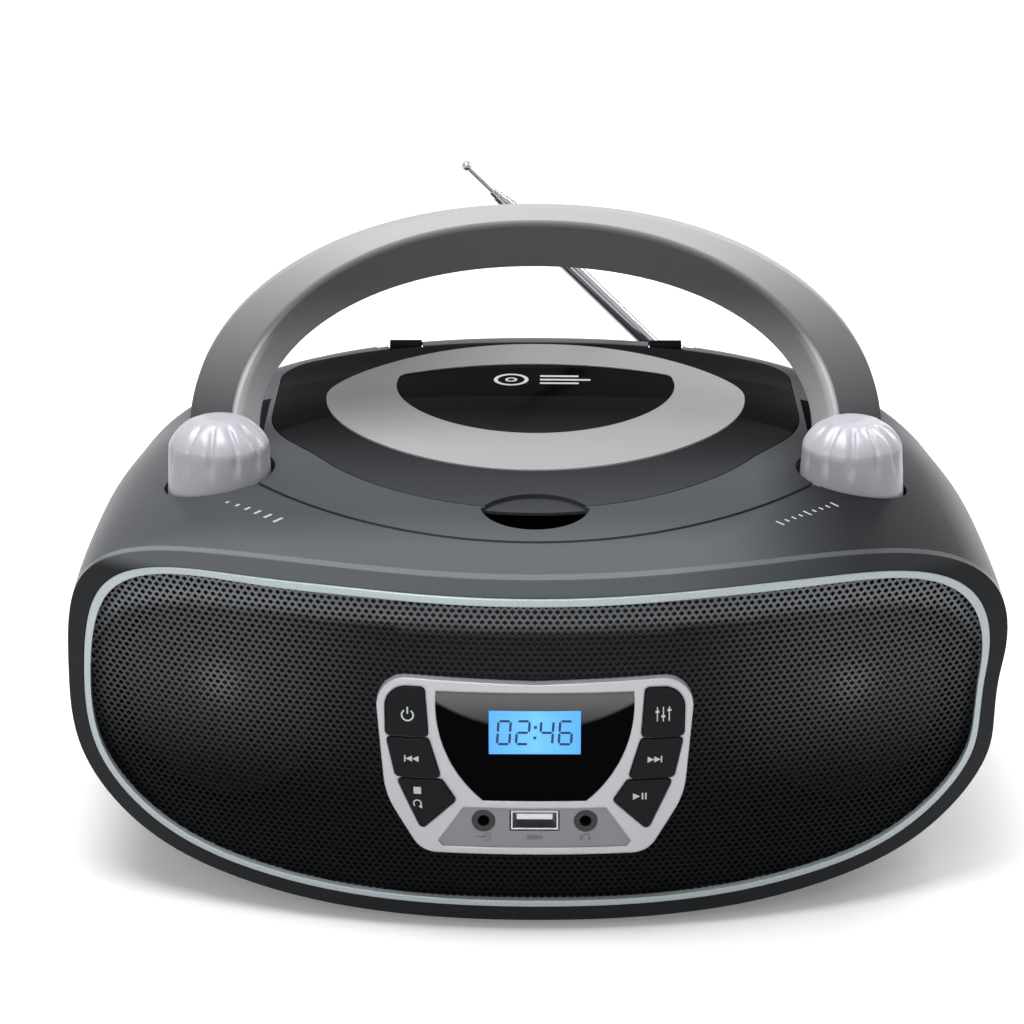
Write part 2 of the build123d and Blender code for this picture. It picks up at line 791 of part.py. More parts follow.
def slot_box(grow=0.0, floor=SLOT_FLOOR_Z):
    """The room that a handle leg swings in, on the right side."""
    return box_between(
        (INNER_ARCH[0] - SLOT_GAP - grow, HANDLE_Y - BOSS_R - SLOT_GAP - grow, floor - grow),
        (OUTER_ARCH[0] + SLOT_GAP + grow, SLOT_BACK_Y + grow, 150),
    )


def outside(inset):
    """Everything above the body form drawn in by a distance, near the top."""
    return box_between((-160, -120, WAIST_Z), (160, 120, ABOVE)) - body_form(inset)


# Casing


def casing():
    return (body_form(0) - body_form(WALL)) & ball(BALL_R - RIM_SKIN)


def screw_boss(side, z):
    """A post inside the back wall that a case screw goes into."""
    x = side * SCREW_X
    return tube_y(SCREW_BOSS_R, BACK_Y - SCREW_L - 2, BACK_Y - WALL / 2, x, z) & body_form(WALL / 2)


def screw_room(side, z):
    x = side * SCREW_X
    seat_y = BACK_Y - SCREW_SUNK - SCREW_HEAD_H
    hole = tube_y(SCREW_R, seat_y - SCREW_L, BACK_Y, x, z)
    return hole + tube_y(SCREW_HEAD_R + 0.2, seat_y, BACK_Y + 5, x, z)


def top_shell():
    shell = casing() & box_between((-200, -200, WAIST_Z), (200, 200, ABOVE))
    step = plan_prism(lid_plan(LID_GAP + LEDGE_WALL))
    ledge_top = LID_THICK + LID_REST_GAP
    ledge_low = ledge_top + LEDGE_THICK
    shell += (body_form(WALL / 2) - body_form(ledge_low)) & step
    room = body_form(WALL / 2)
    for side in (-1, 1):
        place = Pos(side * KNOB_X, KNOB_Y, 0)
        cup_r = KNOB_R + KNOB_GAP
        floor_z = KNOB_WELL_FLOOR_Z
        cup = tube_z(cup_r + KNOB_WELL_WALL, floor_z - KNOB_WELL_WALL, 150, 0, 0)
        shell += (place * cup) & room
        pocket = slot_box(SLOT_WALL)
        pocket = pocket if side > 0 else mirror(pocket, about=Plane.YZ)
        shell += pocket & room
        shell += screw_boss(side, SCREW_TOP_Z)
    shell += finger_pit()
    shell -= plan_prism(lid_plan(LID_GAP)) & outside(ledge_top)
    shell -= tube_z(WELL_R, WAIST_Z, ABOVE, 0, WELL_Y)
    for side in (-1, 1):
        place = Pos(side * KNOB_X, KNOB_Y, 0)
        shell -= place * tube_z(KNOB_R + KNOB_GAP, KNOB_WELL_FLOOR_Z, ABOVE, 0, 0)
        shell -= place * tube_z(SHAFT_HOLE_R, 90, ABOVE, 0, 0)
        cut = slot_box()
        shell -= cut if side > 0 else mirror(cut, about=Plane.YZ)
        low_x = INNER_ARCH[0] - SLOT_GAP - PIVOT_SEAT
        high_x = OUTER_ARCH[0] + SLOT_GAP + PIVOT_SEAT
        bore = tube_x(PIVOT_R, low_x, high_x, HANDLE_Y, PIVOT_Z)
        shell -= bore if side > 0 else mirror(bore, about=Plane.YZ)
        shell -= screw_room(side, SCREW_TOP_Z)
        shell = shell - hinge_room(side) + hinge_cheeks(side)
        shell -= tube_x(PIN_R, *hinge_span(side), HINGE_Y, HINGE_Z)
    shell -= plan_prism(notch_plan(back=NOTCH_BACK_Y - 5)) & outside(NOTCH_DEPTH)
    shell -= plan_prism(ellipse_band(GROOVE_WIDTH)) & outside(GROOVE_DEPTH)
    shell -= plan_prism(ellipse_band(CREASE_WIDTH, -GROOVE_WIDTH)) & outside(CREASE_DEPTH)
    shell -= tube_y(SWIVEL_R + FIT, BACK_Y - 12, BACK_Y + 5, AERIAL_X, AERIAL_Z)
    return shell


def finger_pit():
    """Walls and floor below the finger recess, in front of the disc well."""
    block = plan_prism(notch_plan(NOTCH_WALL, NOTCH_BACK_Y - 5)) & body_form(WALL / 2)
    return block & outside(NOTCH_DEPTH + NOTCH_WALL)


def hinge_span(side):
    half = ARM_W / 2 + HINGE_SIDE_GAP + CHEEK_W - 0.5
    return side * ARM_X - half, side * ARM_X + half


def hinge_room(side):
    half = ARM_W / 2 + HINGE_SIDE_GAP
    return box_between(
        (side * ARM_X - half, ARM_CUT_Y, ARM_CUT_Z), (side * ARM_X + half, ARM_CUT_BACK_Y, ABOVE)
    )


def hinge_cheeks(side):
    """Two cheeks under the skin that hold a lid pin."""
    half = ARM_W / 2 + HINGE_SIDE_GAP
    cheeks = []
    for edge in (-1, 1):
        low = side * ARM_X + (half if edge > 0 else -half - CHEEK_W)
        block = box_between(
            (low, LID_BACK_Y + LID_GAP + 1, ARM_CUT_Z), (low + CHEEK_W, 99, HINGE_Z + 3)
        )
        cheeks.append(block & body_form(WALL / 2))
    return cheeks[0] + cheeks[1]


def bottom_shell():
    shell = casing() & box_between((-200, -200, -10), (200, 200, WAIST_Z))
    bay = box_between(
        (-BAY_HALF_W - BAY_WALL, BACK_Y - BAY_DEPTH, BAY_BOTTOM_Z - BAY_WALL),
        (BAY_HALF_W + BAY_WALL, BACK_Y, BAY_TOP_Z + BAY_WALL),
    )
    shell += bay & body_form(WALL / 2)
    shell -= box_between(
        (-BAY_HALF_W, BACK_Y - BAY_DEPTH + BAY_WALL, BAY_BOTTOM_Z), (BAY_HALF_W, BACK_Y + 5, BAY_TOP_Z)
    )
    for side in (-1, 1):
        shell += screw_boss(side, SCREW_LOW_Z)
        shell -= screw_room(side, SCREW_LOW_Z)
        low, high = door_pin_span(side)
        pin_z = BAY_BOTTOM_Z + DOOR_PIVOT_R + DOOR_GAP
        shell -= tube_x(DOOR_PIN_R, low, high, BACK_Y - DOOR_PIVOT_R, pin_z)
    half_w, half_h = INLET_W / 2 + FIT, INLET_H / 2 + FIT
    shell -= box_between(
        (INLET_X - half_w, 60, INLET_Z - half_h), (INLET_X + half_w, BACK_Y + 5, INLET_Z + half_h)
    )
    return shell


def door_pin_span(side):
    """The door's end pins reach into the bay's two side walls."""
    if side < 0:
        return -BAY_HALF_W - BAY_WALL + 0.3, -BAY_HALF_W + 4
    return BAY_HALF_W - 4, BAY_HALF_W + BAY_WALL - 0.3


def feet():
    pads = []
    for x in (-FOOT_X, FOOT_X):
        for y in (FOOT_FRONT_Y, FOOT_BACK_Y):
            pad = tube_z(FOOT_R, 0, WAIST_Z / 3, x, y) - body_form(-FIT)
            pads.append(pad.solids().sort_by(Axis.Z)[0])
    return pads


# Lid


def lid():
    plate = plan_prism(lid_plan()) & (body_form(0) - body_form(LID_THICK))
    plate -= plan_prism(ring_plan()) & outside(INLAY_THICK)
    plate -= plan_prism(notch_plan()) & outside(SCOOP_DEPTH)
    beyond = Box(2 * LID_HALF_W, 40, 80)
    plate -= Pos(0, LID_BACK_Y, HINGE_Z) * Rot(LID_EDGE_LEAN, 0, 0) * Pos(0, 20, 0) * beyond
    for side in (-1, 1):
        x = side * ARM_X
        low_z = HINGE_Z - ARM_THICK
        arm = box_between((x - ARM_W / 2, ARM_FRONT_Y, low_z), (x + ARM_W / 2, HINGE_Y, HINGE_Z + 0.5))
        arm &= body_form(WALL / 2)
        knuckle = tube_x(KNUCKLE_R, x - ARM_W / 2, x + ARM_W / 2, HINGE_Y, HINGE_Z)
        plate += arm + knuckle
        plate -= tube_x(PIN_R + FIT, x - ARM_W / 2, x + ARM_W / 2, HINGE_Y, HINGE_Z)
    return plate


def lid_ring():
    region = plan_prism(ring_plan(FIT)) - plan_prism(lid_window_plan())
    return region & (body_form(-RING_PROUD) - body_form(INLAY_THICK))


def lid_window():
    region = plan_prism(lid_window_plan())
    return region & (body_form(-RING_PROUD / 3) - body_form(INLAY_THICK))


def lid_pins():
    return [tube_x(PIN_R, *hinge_span(side), HINGE_Y, HINGE_Z) for side in (-1, 1)]


# Disc drive


def disc_well():
    cup = tube_z(WELL_R + WELL_WALL, WELL_FLOOR_Z - WELL_FLOOR_THICK, 150, 0, WELL_Y)
    cup -= tube_z(WELL_R, WELL_FLOOR_Z, 151, 0, WELL_Y)
    ledge_low = LID_THICK + LID_REST_GAP + LEDGE_THICK
    cup &= body_form(ledge_low)
    cup -= tube_z(SPINDLE_HOLE_R, 100, 115, 0, WELL_Y)
    far = SLED_START_Y - SLED_TRAVEL - LENS_SLOT_W / 2
    cup -= box_between((-LENS_SLOT_W / 2, far, 100), (LENS_SLOT_W / 2, WELL_Y, 115))
    pit = plan_prism(notch_plan(NOTCH_WALL + 0.3, NOTCH_BACK_Y - 5)) & outside(NOTCH_DEPTH + 2)
    return cup - pit


def drive_chassis():
    half_w = CHASSIS_W / 2
    plate = box_between(
        (-half_w, CHASSIS_FRONT_Y, CHASSIS_Z), (half_w, CHASSIS_BACK_Y, CHASSIS_Z + CHASSIS_THICK)
    )
    for x in (-POST_X, POST_X):
        for y in (POST_FRONT_Y, POST_BACK_Y):
            plate += tube_z(POST_R, CHASSIS_Z, WELL_FLOOR_Z - WELL_FLOOR_THICK, x, y)
    for x in (-ROD_X, ROD_X):
        for y_low, y_high in ((ROD_FRONT_Y - 3, ROD_FRONT_Y), (ROD_BACK_Y, ROD_BACK_Y + 3)):
            plate += box_between((x - 3, y_low, CHASSIS_Z), (x + 3, y_high, ROD_Z + 3))
    for x in (-ROD_X, ROD_X):
        plate -= tube_y(ROD_R, ROD_FRONT_Y - 2, ROD_BACK_Y + 2, x, ROD_Z)
    return plate


def guide_rods():
    return [tube_y(ROD_R, ROD_FRONT_Y - 2, ROD_BACK_Y + 2, x, ROD_Z) for x in (-ROD_X, ROD_X)]


def spindle_motor():
    low = CHASSIS_Z + CHASSIS_THICK
    return tube_z(MOTOR_R, low, low + MOTOR_H, 0, WELL_Y)


def turntable():
    """Platter, centring cone and spindle, turning with a disc."""
    platter = tube_z(HUB_R, HUB_Z, HUB_Z + HUB_THICK, 0, WELL_Y)
    top = HUB_Z + HUB_THICK
    cone = Pos(0, WELL_Y, top + CONE_HUB_H / 2) * Cone(CONE_HUB_R, CONE_HUB_R - 1.2, CONE_HUB_H)
    boss = tube_z(3.0, CHASSIS_Z + CHASSIS_THICK + MOTOR_H + 0.3, HUB_Z, 0, WELL_Y)
    hub = platter + cone + boss
    for k in range(3):
        angle = radians(120 * k)
        ball_x = (CONE_HUB_R - 0.6) * cos(angle)
        ball_y = WELL_Y + (CONE_HUB_R - 0.6) * sin(angle)
        hub += Pos(ball_x, ball_y, top + CONE_HUB_H / 2) * Sphere(1.2)
    return hub


def laser_sled():
    """Pickup carriage with its lens, on the two guide rods."""
    y, z = SLED_START_Y, ROD_Z
    half_x = ROD_X + SLED_SIDE
    half_y, half_z = SLED_L / 2, SLED_H / 2
    block = box_between((-half_x, y - half_y, z - half_z), (half_x, y + half_y, z + half_z))
    lens_base = box_between((-5, y - 5, z), (5, y + 5, LENS_TOP_Z - 2.5))
    lens = tube_z(LENS_R, z, LENS_TOP_Z, 0, y)
    rack_reach = SLED_TRAVEL / 2 + 2
    rack = box_between((half_x, y - rack_reach, z - 2), (half_x + RACK_W, y + rack_reach, z + 2))
    carriage = block + lens_base + lens + rack
    for x in (-ROD_X, ROD_X):
        carriage -= tube_y(ROD_R + FIT, y - SLED_L, y + SLED_L, x, z)
    return carriage


def pinion_place():
    x = ROD_X + SLED_SIDE + RACK_W + PINION_R + PINION_GAP
    return x, SLED_START_Y - SLED_TRAVEL / 2


def sled_pinion():
    """The gear that drives the carriage's rack."""
    x, y = pinion_place()
    gear = tube_z(PINION_R, ROD_Z - PINION_THICK / 2, ROD_Z + PINION_THICK / 2, x, y)
    for k in range(12):
        angle = 2 * pi * k / 12
        gear -= tube_z(0.45, 80, 110, x + PINION_R * cos(angle), y + PINION_R * sin(angle))
    return gear + tube_z(0.9, CHASSIS_Z + CHASSIS_THICK + 0.3, ROD_Z, x, y)


def sled_motor():
    x, y = pinion_place()
    low = CHASSIS_Z - PINION_MOTOR_H
    return tube_z(PINION_MOTOR_R, low, CHASSIS_Z, x, y)


# Knobs and what they turn


def knob(side):
    taper = KNOB_R - KNOB_DRAFT
    rise = KNOB_TOP_Z - KNOB_SHOULDER_Z
    profile = make_face(
        [
            Line((0, KNOB_BOTTOM_Z), (KNOB_R, KNOB_BOTTOM_Z)),
            Line((KNOB_R, KNOB_BOTTOM_Z), (taper, KNOB_SHOULDER_Z)),
            ThreePointArc(
                (taper, KNOB_SHOULDER_Z),
                (taper * 0.72, KNOB_SHOULDER_Z + rise * 0.69),
                (KNOB_CROWN_R, KNOB_TOP_Z),
            ),
            Line((KNOB_CROWN_R, KNOB_TOP_Z), (0, KNOB_TOP_Z)),
            Line((0, KNOB_TOP_Z), (0, KNOB_BOTTOM_Z)),
        ]
    )
    body = revolve(Plane.XZ * profile, Axis.Z)
    lean = radians(FLUTE_LEAN)
    out = FLUTE_AT[0] + (FLUTE_R - FLUTE_DEPTH) * cos(lean)
    up = FLUTE_AT[1] + (FLUTE_R - FLUTE_DEPTH) * sin(lean)
    for k in range(KNOB_FLUTES):
        tool = Pos(out, 0, up) * Rot(0, -FLUTE_LEAN, 0) * Cylinder(FLUTE_R, 30)
        body -= Rot(0, 0, 360 / KNOB_FLUTES * (k + 0.5)) * tool
    body -= tube_z(KNOB_SOCKET_R, KNOB_BOTTOM_Z - 1, KNOB_SOCKET_TOP_Z, 0, 0)
    return Pos(side * KNOB_X, KNOB_Y, 0) * body


def control_shaft(side):
    """A shaft that the knob is pushed onto, turning in the control's neck."""
    neck_floor = KNOB_WELL_FLOOR_Z - KNOB_WELL_WALL
    return tube_z(SHAFT_R, neck_floor - 2, SHAFT_TOP_Z, side * KNOB_X, KNOB_Y)


def volume_control():
    top = KNOB_WELL_FLOOR_Z - KNOB_WELL_WALL
    body = tube_z(CONTROL_R, top - CONTROL_H, top, -KNOB_X, KNOB_Y)
    body += tube_z(CONTROL_NECK_R, top, top + 1.2, -KNOB_X, KNOB_Y)
    return body - tube_z(SHAFT_R + FIT, top - 2 - FIT, top + 2, -KNOB_X, KNOB_Y)


def tuning_control():
    top = KNOB_WELL_FLOOR_Z - KNOB_WELL_WALL
    half = TUNER_SIDE / 2
    body = box_between(
        (KNOB_X - half, KNOB_Y - half, top - TUNER_H), (KNOB_X + half, KNOB_Y + half, top)
    )
    body += tube_z(CONTROL_NECK_R, top, top + 1.2, KNOB_X, KNOB_Y)
    return body - tube_z(SHAFT_R + FIT, top - 2 - FIT, top + 2, KNOB_X, KNOB_Y)


# Handle


def arch_point(arch, angle):
    half_width, height, power = arch
    c, s = cos(angle), sin(angle)
    reach = (abs(c / half_width) ** power + abs(s / height) ** power) ** (-1 / power)
    return reach * c, ARCH_Z + reach * s


def handle_section(angle):
    """An eight-sided slice that comes to a narrow ridge at the front and at the back."""
    edge = HANDLE_EDGE_W / 2
    depth = HANDLE_DEPTH / 2
    half_width, height, power = RIDGE_ARCH
    outer = arch_point(OUTER_ARCH, angle)
    inner = arch_point(INNER_ARCH, angle)
    over = arch_point((half_width + RIDGE_HALF, height + RIDGE_HALF, power), angle)
    under = arch_point((half_width - RIDGE_HALF, height - RIDGE_HALF, power), angle)
    corners = [
        (outer, -edge),
        (outer, edge),
        (over, depth),
        (under, depth),
        (inner, edge),
        (inner, -edge),
        (under, -depth),
        (over, -depth),
    ]
    return Wire(Polyline(*[(p[0], HANDLE_Y + y, p[1]) for p, y in corners], close=True).edges())


def handle():
    angles = [pi * k / (ARCH_SECTIONS - 1) for k in range(ARCH_SECTIONS)]
    grip = Solid.make_loft([handle_section(angle) for angle in angles])
    for angle in (0, pi):
        grip += extrude(Face(handle_section(angle)), amount=ARCH_Z - PIVOT_Z, dir=(0, 0, -1))
    for side in (-1, 1):
        low, high = sorted((side * INNER_ARCH[0], side * OUTER_ARCH[0]))
        grip += tube_x(BOSS_R, low, high, HANDLE_Y, PIVOT_Z)
        grip -= tube_x(PIVOT_R + FIT, low - 5, high + 5, HANDLE_Y, PIVOT_Z)
    return grip


def handle_pins():
    low = INNER_ARCH[0] - SLOT_GAP - PIVOT_SEAT
    high = OUTER_ARCH[0] + SLOT_GAP + PIVOT_SEAT
    return both_sides(tube_x(PIVOT_R, low, high, HANDLE_Y, PIVOT_Z))


# Aerial


def aerial_frame():
    """At the elbow, with local Z along the folded sections."""
    lean = radians(AERIAL_LEAN)
    return Plane(
        origin=(AERIAL_X, AERIAL_Y, AERIAL_Z), x_dir=(0, 1, 0), z_dir=(-cos(lean), 0, sin(lean))
    )


def aerial_base():
    """Swivel spigot in the back wall, with the fork that carries the elbow."""
    plane = aerial_frame()
    seat_y = BACK_Y + FORK_GAP
    clip_y = BACK_Y - WALL - FORK_GAP
    base = tube_y(SWIVEL_R, clip_y - SWIVEL_CLIP_THICK, seat_y + 0.5, AERIAL_X, AERIAL_Z)
    base += tube_y(SWIVEL_SEAT_R, seat_y, seat_y + SWIVEL_SEAT_THICK, AERIAL_X, AERIAL_Z)
    base += tube_y(SWIVEL_CLIP_R, clip_y - SWIVEL_CLIP_THICK, clip_y, AERIAL_X, AERIAL_Z)
    reach = AERIAL_Y - seat_y - 0.5
    across = AERIAL_SECTION_R[0] + FORK_GAP + FORK_CHEEK / 2
    for side in (-1, 1):
        base += plane * Pos(0, side * across, 0) * Rot(90, 0, 0) * Cylinder(FORK_R, FORK_CHEEK)
        base += plane * Pos(-reach / 2, side * across, 0) * Box(reach, FORK_CHEEK, 1.8 * FORK_R)
    return base - plane * Rot(90, 0, 0) * Cylinder(ELBOW_PIN_R, 4 * AERIAL_SECTION_R[0])


def aerial_elbow():
    """The tilting end block, its pin and the outer tube."""
    plane = aerial_frame()
    radius = AERIAL_SECTION_R[0]
    reach = radius + FORK_GAP + FORK_CHEEK
    pin = plane * Rot(90, 0, 0) * Cylinder(ELBOW_PIN_R - FIT, 2 * reach)
    knuckle = plane * Rot(90, 0, 0) * Cylinder(radius - KNUCKLE_STEP, 2 * radius + FORK_GAP)
    tube = plane * Pos(0, 0, AERIAL_TUBE / 2) * Cylinder(radius, AERIAL_TUBE)
    return pin + knuckle + tube - aerial_bore(0, AERIAL_FOOT - AERIAL_FLOOR)


def aerial_bore(index, start):
    """The room inside one section for the next one."""
    end = AERIAL_TUBE + AERIAL_STEP * index + 5
    radius = AERIAL_SECTION_R[index + 1] + FIT
    return aerial_frame() * Pos(0, 0, (start + end) / 2) * Cylinder(radius, end - start)


def aerial_section(index):
    """One inner section, closed at its foot and showing one step past the tube around it."""
    plane = aerial_frame()
    start = AERIAL_FOOT + AERIAL_FOOT_STEP * (index - 1)
    end = AERIAL_TUBE + AERIAL_STEP * index
    last = index == len(AERIAL_SECTION_R) - 1
    if last:
        end = AERIAL_TUBE + AERIAL_STEP * (index - 1) + AERIAL_ROD_SHOWS
    rod = plane * Pos(0, 0, (start + end) / 2) * Cylinder(AERIAL_SECTION_R[index], end - start)
    if last:
        return rod + plane * Pos(0, 0, end) * Sphere(AERIAL_TIP_R)
    return rod - aerial_bore(index, start + AERIAL_FLOOR)


# Battery bay, inlet and electronics


def battery_door():
    low_z = BAY_BOTTOM_Z + DOOR_GAP
    high_z = BAY_TOP_Z - DOOR_GAP
    half = BAY_HALF_W - DOOR_GAP
    plate = box_between((-half, BACK_Y - DOOR_THICK, low_z + DOOR_PIVOT_R), (half, BACK_Y, high_z))
    roll = tube_x(DOOR_PIVOT_R, -half, half, BACK_Y - DOOR_PIVOT_R, low_z + DOOR_PIVOT_R)
    plate += roll
    for side in (-1, 1):
        low, high = door_pin_span(side)
        plate += tube_x(DOOR_PIN_R - FIT, low, high, BACK_Y - DOOR_PIVOT_R, low_z + DOOR_PIVOT_R)
    for k in range(-4, 5):
        low, high = k * 4 - 0.8, k * 4 + 0.8
        plate -= box_between((low, BACK_Y - 0.7, high_z - 9), (high, BACK_Y + 1, high_z - 3))
    return plate


def battery_contacts():
    """Spring plates at both ends of the two rows of cells."""
    plates = []
    middle_y = BACK_Y - (BAY_DEPTH - BAY_WALL) / 2 - DOOR_THICK / 2
    for side in (-1, 1):
        wall_x = side * BAY_HALF_W
        for z in (BAY_BOTTOM_Z + 10, BAY_TOP_Z - 10):
            low, high = sorted((wall_x, wall_x - side * 0.6))
            plate = box_between((low, middle_y - 8, z - 8), (high, middle_y + 8, z + 8))
            plates.append(plate + coil_stub(low + (0.6 if side < 0 else 0), side, middle_y, z))
    return plates


def coil_stub(x, side, y, z):
    """A flattened cone that stands for one contact spring."""
    cone = Rot(0, -90 * side, 0) * Pos(0, 0, 2.5) * Cone(6, 3.5, 5)
    return Pos(x, y, z) * cone


def power_inlet():
    half_w, half_h = INLET_W / 2, INLET_H / 2
    back = inlet_face_y()
    block = box_between(
        (INLET_X - half_w, back - INLET_DEPTH, INLET_Z - half_h),
        (INLET_X + half_w, back, INLET_Z + half_h),
    )
    block -= box_between(
        (INLET_X - half_w + 1.5, back - INLET_DEPTH + 3, INLET_Z - half_h + 1.5),
        (INLET_X + half_w - 1.5, back + 1, INLET_Z + half_h - 1.5),
    )
    for side in (-1, 1):
        x = INLET_X + side * INLET_PIN_GAP / 2
        block += tube_y(INLET_PIN_R, back - INLET_DEPTH + 2, back - INLET_PIN_SUNK, x, INLET_Z)
    return block


def inlet_face_y():
    return BACK_Y - 1.5


def main_board():
    half_w, half_l = MAIN_BOARD_W / 2, MAIN_BOARD_L / 2
    board = box_between(
        (-half_w, MAIN_BOARD_Y - half_l, MAIN_BOARD_Z),
        (half_w, MAIN_BOARD_Y + half_l, MAIN_BOARD_Z + BOARD_THICK),
    )
    parts = [
        box_between((-40, -20, MAIN_BOARD_Z), (-22, -2, MAIN_BOARD_Z + 4)),
        box_between((10, 0, MAIN_BOARD_Z), (36, 14, MAIN_BOARD_Z + 3.5)),
        box_between((20, 30, MAIN_BOARD_Z), (50, 34, MAIN_BOARD_Z + 22)),
        tube_z(6, MAIN_BOARD_Z, MAIN_BOARD_Z + 20, -35, 25),
        tube_z(6, MAIN_BOARD_Z, MAIN_BOARD_Z + 20, -18, 25),
    ]
    for part in parts:
        board += part
    for x in (-half_w + 5, half_w - 5):
        for y in (MAIN_BOARD_Y - half_l + 5, MAIN_BOARD_Y + half_l - 5):
            post = tube_z(3, 0, MAIN_BOARD_Z, x, y) & body_form(WALL)
            board += post
    return board


def transformer():
    width, length, height = TRANSFORMER
    x, y = TRANSFORMER_X, TRANSFORMER_Y
    low = 21.0
    half_w, half_l, high = width / 2, length / 2, low + height
    core = box_between((x - half_w, y - half_l, low), (x + half_w, y + half_l, high))
    winding = box_between((x - 12, y - half_l - 6, low + 7), (x + 12, y + half_l + 6, high - 7))
    base = box_between((x - width / 2 + 2, y - 6, 0), (x + width / 2 - 2, y + 6, low)) & body_form(WALL)
    return core + winding + base


def case_screws():
    """Four screws sunk into the back wall."""
    screws = []
    for side in (-1, 1):
        for z in (SCREW_LOW_Z, SCREW_TOP_Z):
            x = side * SCREW_X
            seat_y = BACK_Y - SCREW_SUNK - SCREW_HEAD_H
            shank = tube_y(SCREW_R, seat_y - SCREW_L, seat_y, x, z)
            head = tube_y(SCREW_HEAD_R, seat_y, seat_y + SCREW_HEAD_H, x, z)
            slot = box_between((x - 2, seat_y + 0.6, z - 0.4), (x + 2, BACK_Y + 1, z + 0.4))
            cross = box_between((x - 0.4, seat_y + 0.6, z - 2), (x + 0.4, BACK_Y + 1, z + 2))
            screws.append(shank + head - slot - cross)
    return screws


def main():
    os.makedirs("parts", exist_ok=True)
    save("front_cabinet", front_cabinet())
    save("trim_ring", trim_ring())
    save("speaker_grille", speaker_grille())
    save("control_panel", control_panel())
    save("socket_plate", socket_plate())
    save("display_window", display_window())
    save("display_screen", display_screen())
    for (row, side), name in BUTTON_NAMES.items():
        save(name, button(row, side))
    save("key_switches", *key_switches())
    save("key_board", key_board())
    save("socket_board", socket_board())
    save("aux_jack", round_jack(-1))
    save("headphone_jack", round_jack(1))
    save("usb_socket", usb_socket())
    for side, name in ((-1, "left"), (1, "right")):
        save(f"{name}_speaker_frame", speaker_frame(side))
        save(f"{name}_speaker_magnet", speaker_magnet(side))
        save(f"{name}_speaker_cone", speaker_cone(side))
    save("top_shell", top_shell())
    save("bottom_shell", bottom_shell())
    save("feet", *feet())
    save("cd_lid", lid())
    save("lid_ring", lid_ring())
    save("lid_window", lid_window())
    save("lid_hinge_pins", *lid_pins())
    save("disc_well", disc_well())
    save("drive_chassis", drive_chassis())
    save("guide_rods", *guide_rods())
    save("spindle_motor", spindle_motor())
    save("turntable", turntable())
    save("laser_sled", laser_sled())
    save("sled_pinion", sled_pinion())
    save("sled_motor", sled_motor())
    save("volume_knob", knob(-1))
    save("tuning_knob", knob(1))
    save("volume_shaft", control_shaft(-1))
    save("tuning_shaft", control_shaft(1))
    save("volume_control", volume_control())
    save("tuning_control", tuning_control())
    save("handle", handle())
    save("handle_pins", *handle_pins())
    save("aerial_base", aerial_base())
    save("aerial_tube_1", aerial_elbow())
    for index in range(1, len(AERIAL_SECTION_R)):
        save(f"aerial_tube_{index + 1}", aerial_section(index))
    save("battery_door", battery_door())
    save("battery_contacts", *battery_contacts())
    save("power_inlet", power_inlet())
    save("main_board", main_board())
    save("transformer", transformer())
    save("case_screws", *case_screws())


if __name__ == "__main__":
    main()
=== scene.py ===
from math import atan2, cos, exp, hypot, pi, radians, sin, sqrt

import bpy
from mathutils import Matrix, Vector
from mathutils.bvhtree import BVHTree
from mathutils.geometry import tessellate_polygon


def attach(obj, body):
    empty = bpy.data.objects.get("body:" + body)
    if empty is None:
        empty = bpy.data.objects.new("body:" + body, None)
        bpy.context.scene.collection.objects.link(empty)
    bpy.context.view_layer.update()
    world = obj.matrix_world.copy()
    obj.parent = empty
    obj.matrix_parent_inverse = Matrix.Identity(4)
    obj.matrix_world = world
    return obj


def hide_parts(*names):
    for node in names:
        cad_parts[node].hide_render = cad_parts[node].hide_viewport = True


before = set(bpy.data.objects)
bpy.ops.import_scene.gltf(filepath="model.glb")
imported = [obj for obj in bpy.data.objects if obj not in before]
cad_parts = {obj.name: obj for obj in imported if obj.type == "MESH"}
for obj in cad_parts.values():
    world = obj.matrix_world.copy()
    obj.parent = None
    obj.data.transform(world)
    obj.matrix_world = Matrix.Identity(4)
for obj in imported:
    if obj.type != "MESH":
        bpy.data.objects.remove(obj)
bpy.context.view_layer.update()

# Sizes in millimetres, as in the CAD source, whose Y is counted from a plane in front
# of the middle.
MIDDLE_Y = 4.3
BALL_R = 250.0
BALL_LIMIT = 200
BALL_Y = 145.0
BALL_Z = 63.0
WAIST_Z = 73.0
# Sections of the body's front: Y, half width, top, bottom, how square the upper half is
LOWER_SQUARENESS = 3.0
STATIONS = [
    (-112, 143.4, 111.5, 3.4, 4.4),
    (-98, 144.3, 115.6, 3.4, 4.2),
    (-75, 145.6, 119.4, 3.4, 4.0),
    (-40, 146.8, 123.8, 3.4, 3.65),
    (0, 147.2, 128.5, 3.4, 3.15),
]
PANEL_R = BALL_R + 1.2
BUTTON_R = PANEL_R + 0.7
PLATE_R = PANEL_R - 0.35
GRILLE_R = 247.95
GRILLE_THICK = 0.8
GRILLE_INSET = 6.3
PANEL_OVERLAP = 1.5
PITCH_X = 2.26
PITCH_Z = 1.6
HOLE_SHARE = 0.64
SCREEN_Z = 68.6
SCREEN_Y = -105.3
SOCKET_Z = 39.5
# The handle's ridge: half width, height above its springing, how square the arch is
RIDGE = (98.6, 73.8, 2.1)
RIDGE_Z = 125.0
KNOB_X = 101.0
KNOB_Y = -15.8
KNOB_R = 16.9
KNOB_DRAFT = 0.9
KNOB_BOTTOM_Z = 111.5
KNOB_SHOULDER_Z = 132.0
KNOB_TOP_Z = 140.5


def at(x, y, z):
    return Vector((x / 1000, (y - MIDDLE_Y) / 1000, z / 1000))


def ball_y(x, z, radius):
    return BALL_Y - sqrt(radius**2 - x**2 - (z - BALL_Z) ** 2)


def on_ball(radius):
    return lambda x, z: at(x, ball_y(x, z, radius), z)


